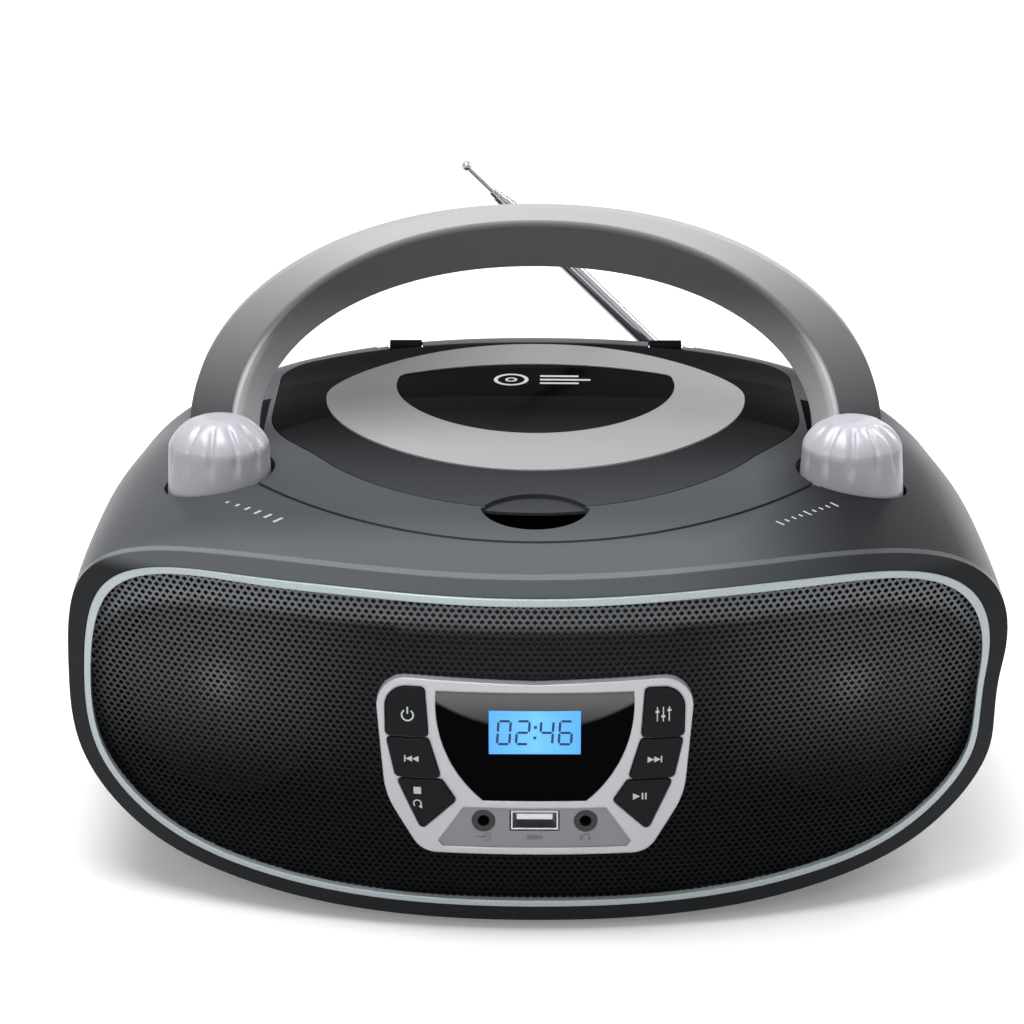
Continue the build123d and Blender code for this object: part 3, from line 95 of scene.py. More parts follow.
def shade(code):
    """A colour code as linear red, green and blue."""
    parts = [int(code[i : i + 2], 16) / 255 for i in (1, 3, 5)]
    return [c / 12.92 if c <= 0.04045 else ((c + 0.055) / 1.055) ** 2.4 for c in parts]


def tint(code):
    """A colour code as a linear colour with full alpha."""
    return shade(code) + [1]


# Materials


CLOUD_SCALE = 30
TRACK_SCALE = 260


class Surface:
    """A material with a slow colour cloud, a fine grain and rounded-looking edges."""

    def __init__(
        self,
        name,
        color,
        rough,
        metallic=0.0,
        coat=0.0,
        grain=2600,
        depth=0.00001,
        spread=0.05,
        rough_spread=0.05,
        edge=0.0003,
        sheen=0.0,
        ior=1.5,
    ):
        self.mat = bpy.data.materials.new(name)
        self.mat.use_nodes = True
        self.nodes = self.mat.node_tree.nodes
        self.links = self.mat.node_tree.links
        self.bsdf = self.nodes["Principled BSDF"]
        self.bsdf.inputs["Metallic"].default_value = metallic
        self.bsdf.inputs["Coat Weight"].default_value = coat
        self.bsdf.inputs["Coat Roughness"].default_value = 0.06
        self.bsdf.inputs["Sheen Weight"].default_value = sheen
        self.bsdf.inputs["IOR"].default_value = ior
        self.coords = self.node("TexCoord").outputs["Object"]
        rgb = shade(color)
        dark = [c * (1 - spread) for c in rgb] + [1]
        light = [min(1, c * (1 + spread)) for c in rgb] + [1]
        cloud = self.noise(CLOUD_SCALE, 3)
        self.color = self.mix(cloud, dark, light)
        self.link(self.color, self.bsdf.inputs["Base Color"])
        self.grain = self.noise(grain, 2)
        self.link(
            self.span(self.grain, 0.3, 0.7, rough - rough_spread, rough + rough_spread),
            self.bsdf.inputs["Roughness"],
        )
        self.bump(self.grain, depth, edge)

    def node(self, kind):
        return self.nodes.new("ShaderNode" + kind)

    def link(self, source, target):
        self.links.new(source, target)

    def noise(self, scale, detail):
        node = self.node("TexNoise")
        node.inputs["Scale"].default_value = scale
        node.inputs["Detail"].default_value = detail
        self.link(self.coords, node.inputs["Vector"])
        return node.outputs["Fac"]

    def mix(self, factor, low, high):
        node = self.node("Mix")
        node.data_type = "RGBA"
        for value, name in ((low, "A_Color"), (high, "B_Color")):
            socket = next(s for s in node.inputs if s.identifier == name)
            if isinstance(value, list):
                socket.default_value = value
            else:
                self.link(value, socket)
        self.link(factor, next(s for s in node.inputs if s.identifier == "Factor_Float"))
        return next(s for s in node.outputs if s.identifier == "Result_Color")

    def span(self, value, low, high, to_low, to_high, smooth=False):
        """A value's place between low and high, clamped, as a number from to_low to to_high."""
        node = self.node("MapRange")
        node.interpolation_type = "SMOOTHSTEP" if smooth else "LINEAR"
        node.inputs["From Min"].default_value = low
        node.inputs["From Max"].default_value = high
        self.link(value, node.inputs["Value"])
        share = node.outputs["Result"]
        return self.math("ADD", self.math("MULTIPLY", share, to_high - to_low), to_low)

    def math(self, kind, first, second):
        node = self.node("Math")
        node.operation = kind
        for value, socket in ((first, node.inputs[0]), (second, node.inputs[1])):
            if isinstance(value, (int, float)):
                socket.default_value = value
            else:
                self.link(value, socket)
        return node.outputs[0]

    def times(self, first, *others):
        for other in others:
            first = self.math("MULTIPLY", first, other)
        return first

    def magnitude(self, value):
        return self.math("ABSOLUTE", value, 0)

    def axis(self, name):
        node = self.node("SeparateXYZ")
        self.link(self.coords, node.inputs[0])
        return node.outputs[name]

    def bump(self, height, depth, edge):
        node = self.node("Bump")
        node.inputs["Strength"].default_value = 1.0
        node.inputs["Distance"].default_value = depth
        self.link(height, node.inputs["Height"])
        if edge:
            bevel = self.node("Bevel")
            bevel.samples = 4
            bevel.inputs["Radius"].default_value = edge
            self.link(bevel.outputs["Normal"], node.inputs["Normal"])
        self.link(node.outputs["Normal"], self.bsdf.inputs["Normal"])

    def recolor(self, socket):
        self.link(socket, self.bsdf.inputs["Base Color"])

    def glow(self, source, strength):
        if isinstance(source, list):
            self.bsdf.inputs["Emission Color"].default_value = source
        else:
            self.link(source, self.bsdf.inputs["Emission Color"])
        self.bsdf.inputs["Emission Strength"].default_value = strength


def shell_paint():
    """Dark metallic paint.

    Painted shade deepens it along the lid's front and on the right shoulder, and painted
    shade turns it black where the finger notch is sunk into the top.
    """
    skin = Surface(
        "shell_paint", "#5C5F63", 0.3, metallic=0.06, grain=5200, spread=0.04, ior=1.08
    )
    side, y, z = skin.axis("X"), skin.axis("Y"), skin.axis("Z")
    x = skin.magnitude(side)
    pit_slope, pit_height, pit_half = 0.126, 0.1282, 0.018
    pit_front, pit_back, soft = -0.0726, -0.0476, 0.0002
    top = skin.math("ADD", skin.math("MULTIPLY", y, pit_slope), pit_height)
    depth = skin.math("SUBTRACT", top, z)
    # painted shade: black inside the sunk finger notch
    pit_shade = skin.times(
        skin.span(depth, 0.0006, 0.0016, 0, 1),
        skin.span(x, pit_half - soft, pit_half + soft, 1, 0),
        skin.span(y, pit_back - soft, pit_back + soft, 1, 0),
        skin.span(y, pit_front - soft, pit_front + soft, 0, 1),
    )
    normal = skin.node("SeparateXYZ")
    skin.link(skin.node("TexCoord").outputs["Normal"], normal.inputs[0])
    # painted shade: a dark band over the right shoulder, kept off the side-facing skin
    right_shoulder_shade = skin.times(
        skin.span(side, 0.045, 0.100, 0.0, 0.93, True),
        skin.span(normal.outputs["X"], 0.5, 0.85, 1.0, 0.0),
        skin.span(z, 0.070, 0.095, 0.0, 1.0),
    )
    # painted shade: darker from the front lip back towards the lid
    inner = skin.span(y, -0.088, -0.056, 0.0, 0.4, True)
    paint = skin.mix(skin.math("MAXIMUM", right_shoulder_shade, inner), skin.color, tint("#17191B"))
    skin.recolor(skin.mix(pit_shade, paint, tint("#060708")))
    return skin.mat


def bezel_gloss():
    """Gloss dark plastic, paler where a painted highlight lies along its top as it rolls over to
    the shell.
    """
    skin = Surface("bezel_gloss", "#242629", 0.25, grain=4000, edge=0.0006, ior=1.2)
    # painted highlight along the top, fading towards the sides
    lip_highlight = skin.times(
        skin.span(skin.axis("Z"), 0.1055, 0.1115, 0.0, 1.0, True),
        skin.span(skin.axis("X"), 0.04, 0.10, 1.0, 0.2),
    )
    skin.recolor(skin.mix(lip_highlight, skin.color, tint("#6C7074")))
    return skin.mat


def ring_paint():
    """Silver ring with painted shade that darkens it to the back and the left."""
    skin = Surface(
        "ring_silver",
        "#A6A7A8",
        0.35,
        metallic=0.4,
        grain=7000,
        spread=0.03,
        edge=0.0004,
        ior=1.2,
    )
    # painted shade: darker to the back and the left
    back = skin.span(skin.axis("Y"), -0.015, 0.045, 0.0, 1.0, True)
    left = skin.span(skin.axis("X"), -0.065, 0.02, 0.85, 0.35, True)
    skin.recolor(skin.mix(skin.times(back, left), skin.color, tint("#3A3B3D")))
    return skin.mat


def gloss_lid():
    """Black gloss panel with painted reflections: a paler front half and a black strip near the
    back.
    """
    skin = Surface(
        "lid_gloss", "#2E3234", 0.1, grain=900, depth=0.000002, rough_spread=0.02, ior=1.03
    )
    y = skin.axis("Y")
    slant = skin.span(skin.magnitude(skin.axis("X")), 0.045, 0.09, 0.0, 0.024)
    # painted reflection: a black strip across the lid near the back
    painted_band = skin.times(
        skin.span(skin.math("ADD", y, slant), 0.031, 0.0335, 0.0, 1.0, True),
        skin.span(y, 0.0585, 0.0625, 1.0, 0.0, True),
    )
    # painted reflection: paler towards the front, darker to the back
    body = skin.mix(skin.span(y, -0.055, 0.02, 0.0, 1.0), tint("#404245"), tint("#101112"))
    skin.recolor(skin.mix(painted_band, body, tint("#020203")))
    return skin.mat


def window_gloss():
    """Gloss black display window with a painted sheen on its upper part."""
    skin = Surface(
        "window_gloss", "#0A0B0C", 0.07, grain=900, depth=0.000002, rough_spread=0.02, ior=1.08
    )
    x, z = skin.axis("X"), skin.axis("Z")
    sag = 9.0
    height = skin.math("SUBTRACT", z, skin.times(x, x, sag))
    # painted reflection: a soft sheen over the upper part, below a curved edge
    tone = skin.times(
        skin.span(height, 0.0690, 0.0705, 0.0, 1.0, True),
        skin.span(z, 0.069, 0.082, 0.12, 1.0),
    )
    skin.recolor(skin.mix(tone, tint("#010101"), tint("#909090")))
    return skin.mat


def screen_blue():
    """Lit blue screen, brightest in the middle."""
    skin = Surface("screen_blue", "#4FB0F8", 0.25, coat=0.5, grain=1500, depth=0.000002)
    side = skin.span(skin.magnitude(skin.axis("X")), 0.0, 0.016, 0.0, 1.0)
    tone = skin.mix(side, tint("#62BCFB"), tint("#3E9FEE"))
    skin.recolor(tone)
    skin.glow(tone, 0.62)
    return skin.mat


def grille_paint():
    """Black-painted steel sheet, paler where its tone attribute holds painted light."""
    skin = Surface(
        "grille_paint", "#3A3D40", 0.4, metallic=0.2, grain=6000, spread=0.08, edge=0, ior=1.15
    )
    # the tone attribute carries painted highlights and painted glints
    attribute = skin.node("Attribute")
    attribute.attribute_name = "tone"
    skin.recolor(skin.mix(attribute.outputs["Fac"], tint("#030303"), tint("#C4C8CC")))
    return skin.mat


def handle_paint():
    """Silver paint with a painted highlight down each leg's ridge.

    Painted shade darkens the outer face down the legs and the front face up the arch.
    """
    skin = Surface(
        "handle_silver",
        "#E0E1E2",
        0.42,
        metallic=0.1,
        grain=7000,
        spread=0.03,
        edge=0.001,
        ior=1.06,
    )
    half_width, height, power = RIDGE
    z = skin.axis("Z")
    across = skin.math("DIVIDE", skin.magnitude(skin.axis("X")), half_width / 1000)
    over = skin.math("MAXIMUM", skin.math("SUBTRACT", z, RIDGE_Z / 1000), 0)
    up = skin.math("DIVIDE", over, height / 1000)
    reach = skin.math("ADD", skin.math("POWER", across, power), skin.math("POWER", up, power))
    outer = skin.span(reach, 0.985, 1.02, 0.0, 1.0, True)
    # painted shade: front face darker up the arch, outer face darker down the legs
    front_face_shade = skin.span(z, 0.135, 0.180, 0.0, 0.8, True)
    outer_face_shade = skin.span(z, 0.130, 0.185, 0.9, 0.5)
    change = skin.times(outer, skin.math("SUBTRACT", outer_face_shade, front_face_shade))
    tone = skin.math("ADD", change, front_face_shade)
    paint = skin.mix(tone, skin.color, tint("#3C3D3E"))
    # painted highlight: a pale line along each leg's ridge
    line = skin.times(
        skin.span(reach, 0.93, 0.96, 0.0, 1.0),
        skin.span(reach, 0.99, 1.02, 1.0, 0.0),
        skin.span(z, 0.150, 0.163, 1.0, 0.0),
    )
    skin.recolor(skin.mix(line, paint, tint("#FFFFFF")))
    return skin.mat


def silver(name, color, rough, metallic, edge):
    skin = Surface(
        name, color, rough, metallic=metallic, grain=7000, spread=0.03, edge=edge, ior=1.2
    )
    return skin.mat


def circuit_board():
    """Green circuit board with paler tracks."""
    skin = Surface("board_green", "#1E5A34", 0.45, grain=2000, depth=0.00002)
    line = skin.span(skin.noise(TRACK_SCALE, 0), 0.49, 0.51, 0.0, 1.0, True)
    skin.recolor(skin.mix(line, tint("#1B5230"), tint("#2F7A48")))
    return skin.mat


def plain(name, color, rough, **extra):
    return Surface(name, color, rough, **extra).mat


def ink(name, color):
    return plain(name, color, 0.5, grain=3000, depth=0.000003, edge=0)


MATERIALS = {
    "shell": shell_paint(),
    "bezel": bezel_gloss(),
    "trim": plain("trim_bright", "#B9C4C8", 0.3, metallic=0.35, grain=5000, edge=0.0006),
    "grille": grille_paint(),
    "panel": silver("panel_silver", "#BFC0C4", 0.36, 0.5, edge=0.0009),
    "plate": silver("plate_silver", "#8F9094", 0.42, 0.4, edge=0.0002),
    "button": plain("button_black", "#15181A", 0.36, grain=4500, edge=0.0005, ior=1.2),
    "window": window_gloss(),
    "screen": screen_blue(),
    "board": circuit_board(),
    "inner": plain("inner_black", "#131416", 0.5, grain=1800, depth=0.00003),
    "steel": plain("plain_steel", "#B9BBBE", 0.3, metallic=1.0, grain=3000, spread=0.08),
    "knob": silver("knob_silver", "#B9B9C0", 0.3, 0.15, edge=0.0008),
    "lid": gloss_lid(),
    "ring": ring_paint(),
    "handle": handle_paint(),
    "cone": plain(
        "cone_paper", "#3A3B3D", 0.7, grain=1800, depth=0.00006, spread=0.2, sheen=0.2
    ),
    "ferrite": plain("ferrite_dark", "#2A2A2C", 0.6, grain=1500, depth=0.00003, spread=0.2),
    "rubber": plain("foot_rubber", "#18191A", 0.8, grain=2200, depth=0.00006, spread=0.15),
    "brass": plain("contact_brass", "#C9A45C", 0.3, metallic=1.0, grain=3000, spread=0.1),
    "chrome": plain(
        "aerial_chrome", "#A8AAAD", 0.14, metallic=1.0, grain=3000, depth=0.000002
    ),
    "ink": ink("ink_white", "#E9EBEC"),
    "ink_grey": ink("ink_grey", "#77797D"),
    "ink_pale": ink("ink_pale", "#AEB1B3"),
    "digit": plain("digit_navy", "#123A66", 0.4, grain=3000, depth=0.000002, edge=0),
}
NODE_LOOKS = {
    "bezel": ["front_cabinet"],
    "trim": ["trim_ring"],
    "panel": ["control_panel"],
    "plate": ["socket_plate"],
    "window": ["display_window"],
    "screen": ["display_screen"],
    "button": [
        "power_button", "previous_button", "stop_button",
        "mode_button", "next_button", "play_button",
    ],
    "board": ["key_board", "socket_board", "main_board"],
    "inner": [
        "key_switches", "aux_jack", "headphone_jack", "disc_well", "turntable", "laser_sled",
        "sled_pinion", "tuning_control", "aerial_base", "power_inlet",
    ],
    "steel": [
        "usb_socket", "left_speaker_frame", "right_speaker_frame", "lid_hinge_pins",
        "drive_chassis", "guide_rods", "spindle_motor", "sled_motor", "volume_shaft",
        "tuning_shaft", "volume_control", "handle_pins", "case_screws",
    ],
    "cone": ["left_speaker_cone", "right_speaker_cone"],
    "ferrite": ["left_speaker_magnet", "right_speaker_magnet", "transformer"],
    "shell": ["top_shell", "bottom_shell", "battery_door"],
    "rubber": ["feet"],
    "lid": ["cd_lid", "lid_window"],
    "ring": ["lid_ring"],
    "knob": ["volume_knob", "tuning_knob"],
    "handle": ["handle"],
    "chrome": [f"aerial_tube_{k}" for k in range(1, 6)],
    "brass": ["battery_contacts"],
    "grille": ["speaker_grille"],
}
for look, names in NODE_LOOKS.items():
    for name in names:
        for part_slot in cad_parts[name].material_slots:
            part_slot.material = MATERIALS[look]
        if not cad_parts[name].material_slots:
            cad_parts[name].active_material = MATERIALS[look]


# Mesh helpers


def piece(name, points, faces, look, body, smooth=False):
    mesh = bpy.data.meshes.new(name)
    mesh.from_pydata(points, [], faces)
    mesh.validate()
    obj = bpy.data.objects.new(name, mesh)
    bpy.context.collection.objects.link(obj)
    obj.data.materials.append(MATERIALS[look])
    if smooth:
        for face in mesh.polygons:
            face.use_smooth = True
    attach(obj, body)
    return obj


def decal(name, shapes, place, look, body):
    """Flat printed shapes; each is a list of points that place() puts on a surface."""
    points, faces = [], []
    for shape in shapes:
        start = len(points)
        flat = [Vector((u, v, 0)) for u, v in shape]
        area = sum(a.x * b.y - b.x * a.y for a, b in zip(flat, flat[1:] + flat[:1]))
        if area < 0:
            flat.reverse()
        points += [place(p.x, p.y) for p in flat]
        faces += [[start + i for i in tri] for tri in tessellate_polygon([flat])]
    return piece(name, points, faces, look, body)


def rectangle(x, z, width, height, turn=0.0):
    w, h = width / 2, height / 2
    corners = [(-w, -h), (w, -h), (w, h), (-w, h)]
    c, s = cos(turn), sin(turn)
    return [(x + a * c - b * s, z + a * s + b * c) for a, b in corners]


def arc_band(x, z, radius, width, start, end, steps=24):
    """Part of a ring, as short four-cornered pieces."""
    bits = []
    for k in range(steps):
        a = radians(start + (end - start) * k / steps)
        b = radians(start + (end - start) * (k + 1) / steps)
        inner, outer = radius - width / 2, radius + width / 2
        bits.append(
            [
                (x + inner * cos(a), z + inner * sin(a)),
                (x + outer * cos(a), z + outer * sin(a)),
                (x + outer * cos(b), z + outer * sin(b)),
                (x + inner * cos(b), z + inner * sin(b)),
            ]
        )
    return bits


def triangle(x, z, size, way):
    """A triangle that points to the right for way 1 and to the left for way -1."""
    reach = way * size / 2
    return [(x - reach, z - size / 2), (x + reach, z), (x - reach, z + size / 2)]


# Perforated grille


def section_reach(angle, y, inset):
    """How far the body's skin, drawn in by inset, lies from the waist's middle."""
    low = max([s for s in STATIONS if s[0] <= y], key=lambda s: s[0])
    high = min([s for s in STATIONS if s[0] > y], key=lambda s: s[0])
    t = (y - low[0]) / (high[0] - low[0])
    _, half_width, top, bottom, squareness = [a + (b - a) * t for a, b in zip(low, high)]
    up = sin(angle) >= 0
    height = (top - WAIST_Z if up else WAIST_Z - bottom) - inset
    power = squareness if up else LOWER_SQUARENESS
    c, s = cos(angle) / (half_width - inset), sin(angle) / height
    return (abs(c) ** power + abs(s) ** power) ** (-1 / power)


def inside_grille(x, z, inset):
    if x * x + (z - BALL_Z) ** 2 > BALL_LIMIT**2:
        return False
    y = ball_y(x, z, GRILLE_R)
    return hypot(x, z - WAIST_Z) < section_reach(atan2(z - WAIST_Z, x), y, inset)


PANEL_EDGE = [
    (28, 29.8), (33.4, 37.6), (42.6, 42.5), (50, 45.2),
    (58.4, 46.5), (67, 47.3), (76, 47.9), (85, 44),
]


def panel_half_width(z):
    """Half the control panel's width at a height, or nothing above and below it."""
    if z < PANEL_EDGE[0][0] or z > PANEL_EDGE[-1][0]:
        return 0
    for (z1, x1), (z2, x2) in zip(PANEL_EDGE, PANEL_EDGE[1:]):
        if z1 <= z <= z2:
            return x1 + (x2 - x1) * (z - z1) / (z2 - z1)
    return 0


def smooth(value, low, high):
    t = min(1.0, max(0.0, (value - low) / (high - low)))
    return t * t * (3 - 2 * t)


def grille_painted_light(x, z):
    """Painted light on the sheet: a painted highlight along its top, paler around the upper
    speakers, and a painted glint where each speaker cap shows through.
    """
    painted_band, fade, inset = 11, 4, 7.4
    cap_x, cap_z, cap_spread = 97, 76, 38
    depth = 0
    while depth < painted_band + 1 and inside_grille(x, z + depth, inset):
        depth += 1
    # painted highlight along the sheet's top
    top_highlight = min(1.0, (painted_band - min(depth, painted_band)) / fade) if z > WAIST_Z else 0.0
    # painted light around the speakers
    side = smooth(abs(x), 40, 95) * smooth(z, 42, 82)
    # painted glint of the speaker cap
    cap_glint = exp(-((abs(x) - cap_x) ** 2 + (z - cap_z) ** 2) / cap_spread)
    return min(1.0, 0.01 + 0.03 * smooth(z, 35, 95) + 0.12 * side + 0.3 * top_highlight + 0.12 * cap_glint)


def grille():
    """A thin sheet with thousands of six-sided holes in staggered rows."""
    high = (PITCH_Z**2 - (PITCH_X / 2) ** 2) / (2 * PITCH_Z)
    cell = [
        (PITCH_X / 2, high), (0, PITCH_Z - high), (-PITCH_X / 2, high),
        (-PITCH_X / 2, -high), (0, high - PITCH_Z), (PITCH_X / 2, -high),
    ]
    outer, inner = on_ball(GRILLE_R), on_ball(GRILLE_R - GRILLE_THICK)
    points, faces, tones = [], [], []
    shared = {}

    def corner(x, z, tone):
        key = (round(x, 2), round(z, 2))
        if key not in shared:
            shared[key] = len(points)
            points.append(outer(x, z))
            tones.append(tone)
        return shared[key]

    lowest, highest, columns = -100, 60, 64
    for row in range(int(lowest / PITCH_Z), int(highest / PITCH_Z)):
        z = WAIST_Z + row * PITCH_Z
        shift = PITCH_X / 2 if row % 2 else 0
        for column in range(-columns, columns + 1):
            x = column * PITCH_X + shift
            if not inside_grille(x, z, GRILLE_INSET):
                continue
            if abs(x) < panel_half_width(z) - PANEL_OVERLAP:
                continue
            tone = grille_painted_light(x, z)
            ring = [corner(x + a, z + b, tone) for a, b in cell]
            start = len(points)
            for side, value in ((outer, tone), (inner, 0.0)):
                for a, b in cell:
                    points.append(side(x + HOLE_SHARE * a, z + HOLE_SHARE * b))
                    tones.append(value)
            for k in range(6):
                n = (k + 1) % 6
                faces.append([ring[n], ring[k], start + k, start + n])
                faces.append([start + n, start + k, start + 6 + k, start + 6 + n])
    sheet = piece("grille_sheet", points, faces, "grille", "cabinet")
    # painted light per corner, read by the grille material
    attribute = sheet.data.attributes.new("tone", "FLOAT", "POINT")
    attribute.data.foreach_set("value", tones)
    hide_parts("speaker_grille")


grille()


# Fluted knobs


def knob_profile():
    """Radius and height from the rim up over the dome."""
    steps = 12
    tall = KNOB_SHOULDER_Z - KNOB_BOTTOM_Z
    line = []
    for k in range(steps):
        line.append((KNOB_R - KNOB_DRAFT * k / steps, KNOB_BOTTOM_Z + tall * k / steps))
    start = (KNOB_R - KNOB_DRAFT, KNOB_SHOULDER_Z)
    rise = KNOB_TOP_Z - KNOB_SHOULDER_Z
    middle = (start[0] * 0.72, KNOB_SHOULDER_Z + rise * 0.69)
    end = (2.0, KNOB_TOP_Z)
    ax, ay = middle[0] - start[0], middle[1] - start[1]
    bx, by = end[0] - start[0], end[1] - start[1]
    double = 2 * (ax * by - ay * bx)
    cx = start[0] + (by * (ax * ax + ay * ay) - ay * (bx * bx + by * by)) / double
    cy = start[1] + (ax * (bx * bx + by * by) - bx * (ax * ax + ay * ay)) / double
    radius = hypot(start[0] - cx, start[1] - cy)
    first, last = atan2(start[1] - cy, start[0] - cx), atan2(end[1] - cy, end[0] - cx)
    arc = []
    for k in range(33):
        a = first + (last - first) * k / 32
        arc.append((cx + radius * cos(a), cy + radius * sin(a)))
    return line + arc


def fluted_knob(side, name):
    """A domed knob whose shoulder carries twelve narrow creases."""
    profile = knob_profile()
    around = 240
    creases = 12
    crease_depth, crease_turn = 0.95, 0.62
    points = []
    for k, (r, z) in enumerate(profile):
        r1, z1 = profile[max(0, k - 1)]
        r2, z2 = profile[min(len(profile) - 1, k + 1)]
        length = hypot(r2 - r1, z2 - z1)
        out, up = (z2 - z1) / length, (r1 - r2) / length
        reach = smooth(z, 124.5, 130) * smooth(r, 7.0, 11.5)
        for m in range(around):
            a = 2 * pi * m / around
            turn = (a / (2 * pi) * creases + crease_turn) % 1 - 0.5
            off = turn * 2 * pi * r / creases
            width = 0.65 if off > 0 else 1.5
            deep = crease_depth * reach * exp(-((off / width) ** 2)) + 0.02
            rr, zz = r - deep * out, z - deep * up
            points.append(at(side * KNOB_X + rr * cos(a), KNOB_Y + rr * sin(a), zz))
    faces = []
    for k in range(len(profile) - 1):
        low, high = k * around, (k + 1) * around
        for m in range(around):
            n = (m + 1) % around
            faces.append([low + m, low + n, high + n, high + m])
    top = (len(profile) - 1) * around
    faces.append([top + m for m in range(around)])
    faces.append([m for m in reversed(range(around))])
    skin = piece(name + "_skin", points, faces, "knob", name, smooth=True)
    skin.data.polygons[-1].use_smooth = False
    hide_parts(name)


fluted_knob(-1, "volume_knob")
fluted_knob(1, "tuning_knob")


# Signs on the buttons


def button_signs():
    place = on_ball(BUTTON_R + 0.04)
    power = arc_band(-38.4, 73.6, 1.75, 0.5, 125, 415) + [rectangle(-38.4, 75.1, 0.5, 2.2)]
    decal("sign_power", power, place, "ink", "power_button")
    x, z = -37.2, 59.6
    decal(
        "sign_previous",
        [
            rectangle(x - 2.1, z, 0.45, 2.1),
            triangle(x - 0.9, z, 2.0, -1),
            triangle(x + 1.1, z, 2.0, -1),
        ],
        place, "ink", "previous_button",
    )
    x, z = -35.6, 49.2
    decal("sign_stop", [rectangle(x, z, 2.3, 2.3)], place, "ink", "stop_button")
    loop = arc_band(x, z - 4.4, 1.15, 0.4, -60, 230) + [triangle(x + 0.9, z - 5.5, 1.1, -1)]
    decal("sign_repeat", loop, place, "ink", "stop_button")
    x, z = 38.7, 74.1
    bars = []
    for shift, mark in ((-1.8, 0.8), (0.0, -0.7), (1.8, 1.2)):
        bars.append(rectangle(x + shift, z, 0.35, 4.6))
        bars.append(rectangle(x + shift, z + mark, 1.2, 0.7))
    decal("sign_mode", bars, place, "ink", "mode_button")
    x, z = 36.2, 59.6
    decal(
        "sign_next",
        [
            rectangle(x + 2.1, z, 0.45, 2.1),
            triangle(x + 0.9, z, 2.0, 1),
            triangle(x - 1.1, z, 2.0, 1),
        ],
        place, "ink", "next_button",
    )
    x, z = 31.8, 47.6
    decal(
        "sign_play",
        [
            triangle(x - 0.9, z, 2.2, 1),
            rectangle(x + 0.9, z, 0.5, 2.2),
            rectangle(x + 1.9, z, 0.5, 2.2),
        ],
        place, "ink", "play_button",
    )


def socket_signs():
    place = on_ball(PLATE_R + 0.04)
    z = SOCKET_Z - 5.6
    arrow = [rectangle(-16.6, z, 2.2, 0.45), triangle(-15.1, z, 1.3, 1)]
    arrow += arc_band(-14.6, z, 1.2, 0.35, -110, 110, 12)
    decal("sign_aux", arrow, place, "ink_grey", "cabinet")
    stick = [rectangle(-0.6, z, 3.4, 1.5), rectangle(1.9, z, 1.3, 1.0)]
    decal("sign_usb", stick, place, "ink_grey", "cabinet")
    ears = arc_band(15.5, z - 0.2, 1.3, 0.35, 0, 180, 14)
    ears += [rectangle(14.3, z - 0.7, 0.7, 1.1), rectangle(16.7, z - 0.7, 0.7, 1.1)]
    decal("sign_headphones", ears, place, "ink_grey", "cabinet")


SEGMENTS = {
    "0": "abcdef", "1": "bc", "2": "abged", "3": "abgcd", "4": "fgbc",
    "5": "afgcd", "6": "afgedc", "7": "abc", "8": "abcdefg", "9": "abcdfg",
}


def digits():
    """A clock reading in seven-part digits."""
    width, height, thick, gap, lean = 3.7, 7.4, 0.75, 0.3, 0.06
    shapes = []

    def bar(cx, cz, length, upright):
        half, point = length / 2, thick / 2
        inner = half - point
        outline = [
            (-half, 0), (-inner, -point), (inner, -point),
            (half, 0), (inner, point), (-inner, point),
        ]
        if upright:
            outline = [(-b, a) for a, b in outline]
        shapes.append([(cx + a + (cz + b - SCREEN_Z) * lean, cz + b) for a, b in outline])

    def digit(text, x):
        w, h = width / 2, height / 2
        flat, tall = width - gap, h - gap
        spots = {
            "a": (x, SCREEN_Z + h, flat, False),
            "g": (x, SCREEN_Z, flat, False),
            "d": (x, SCREEN_Z - h, flat, False),
            "f": (x - w, SCREEN_Z + h / 2, tall, True),
            "b": (x + w, SCREEN_Z + h / 2, tall, True),
            "e": (x - w, SCREEN_Z - h / 2, tall, True),
            "c": (x + w, SCREEN_Z - h / 2, tall, True),
        }
        for key in SEGMENTS[text]:
            bar(*spots[key])

    for text, x in zip("0246", (-9.3, -3.6, 3.6, 9.3)):
        digit(text, x)
    for z in (SCREEN_Z - 1.7, SCREEN_Z + 1.7):
        shapes.append(rectangle(0.1 + (z - SCREEN_Z) * lean, z, 0.9, 0.9))
    decal("clock_digits", shapes, lambda x, z: at(x, SCREEN_Y - 0.05, z), "digit", "cabinet")


button_signs()
socket_signs()
digits()


# Marks on the top, laid on the CAD surface by dropping a line onto it

ABOVE_ALL = 300
INK_LIFT = 0.06


def surface_of(name):
    """A function that drops a point onto a CAD node's upper side."""
    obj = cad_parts[name]
    tree = BVHTree.FromObject(obj, bpy.context.evaluated_depsgraph_get())

    def place(x, y):
        hit = tree.ray_cast(at(x, y, ABOVE_ALL), Vector((0, 0, -1)))[0]
        return hit + Vector((0, 0, INK_LIFT / 1000))

    return place


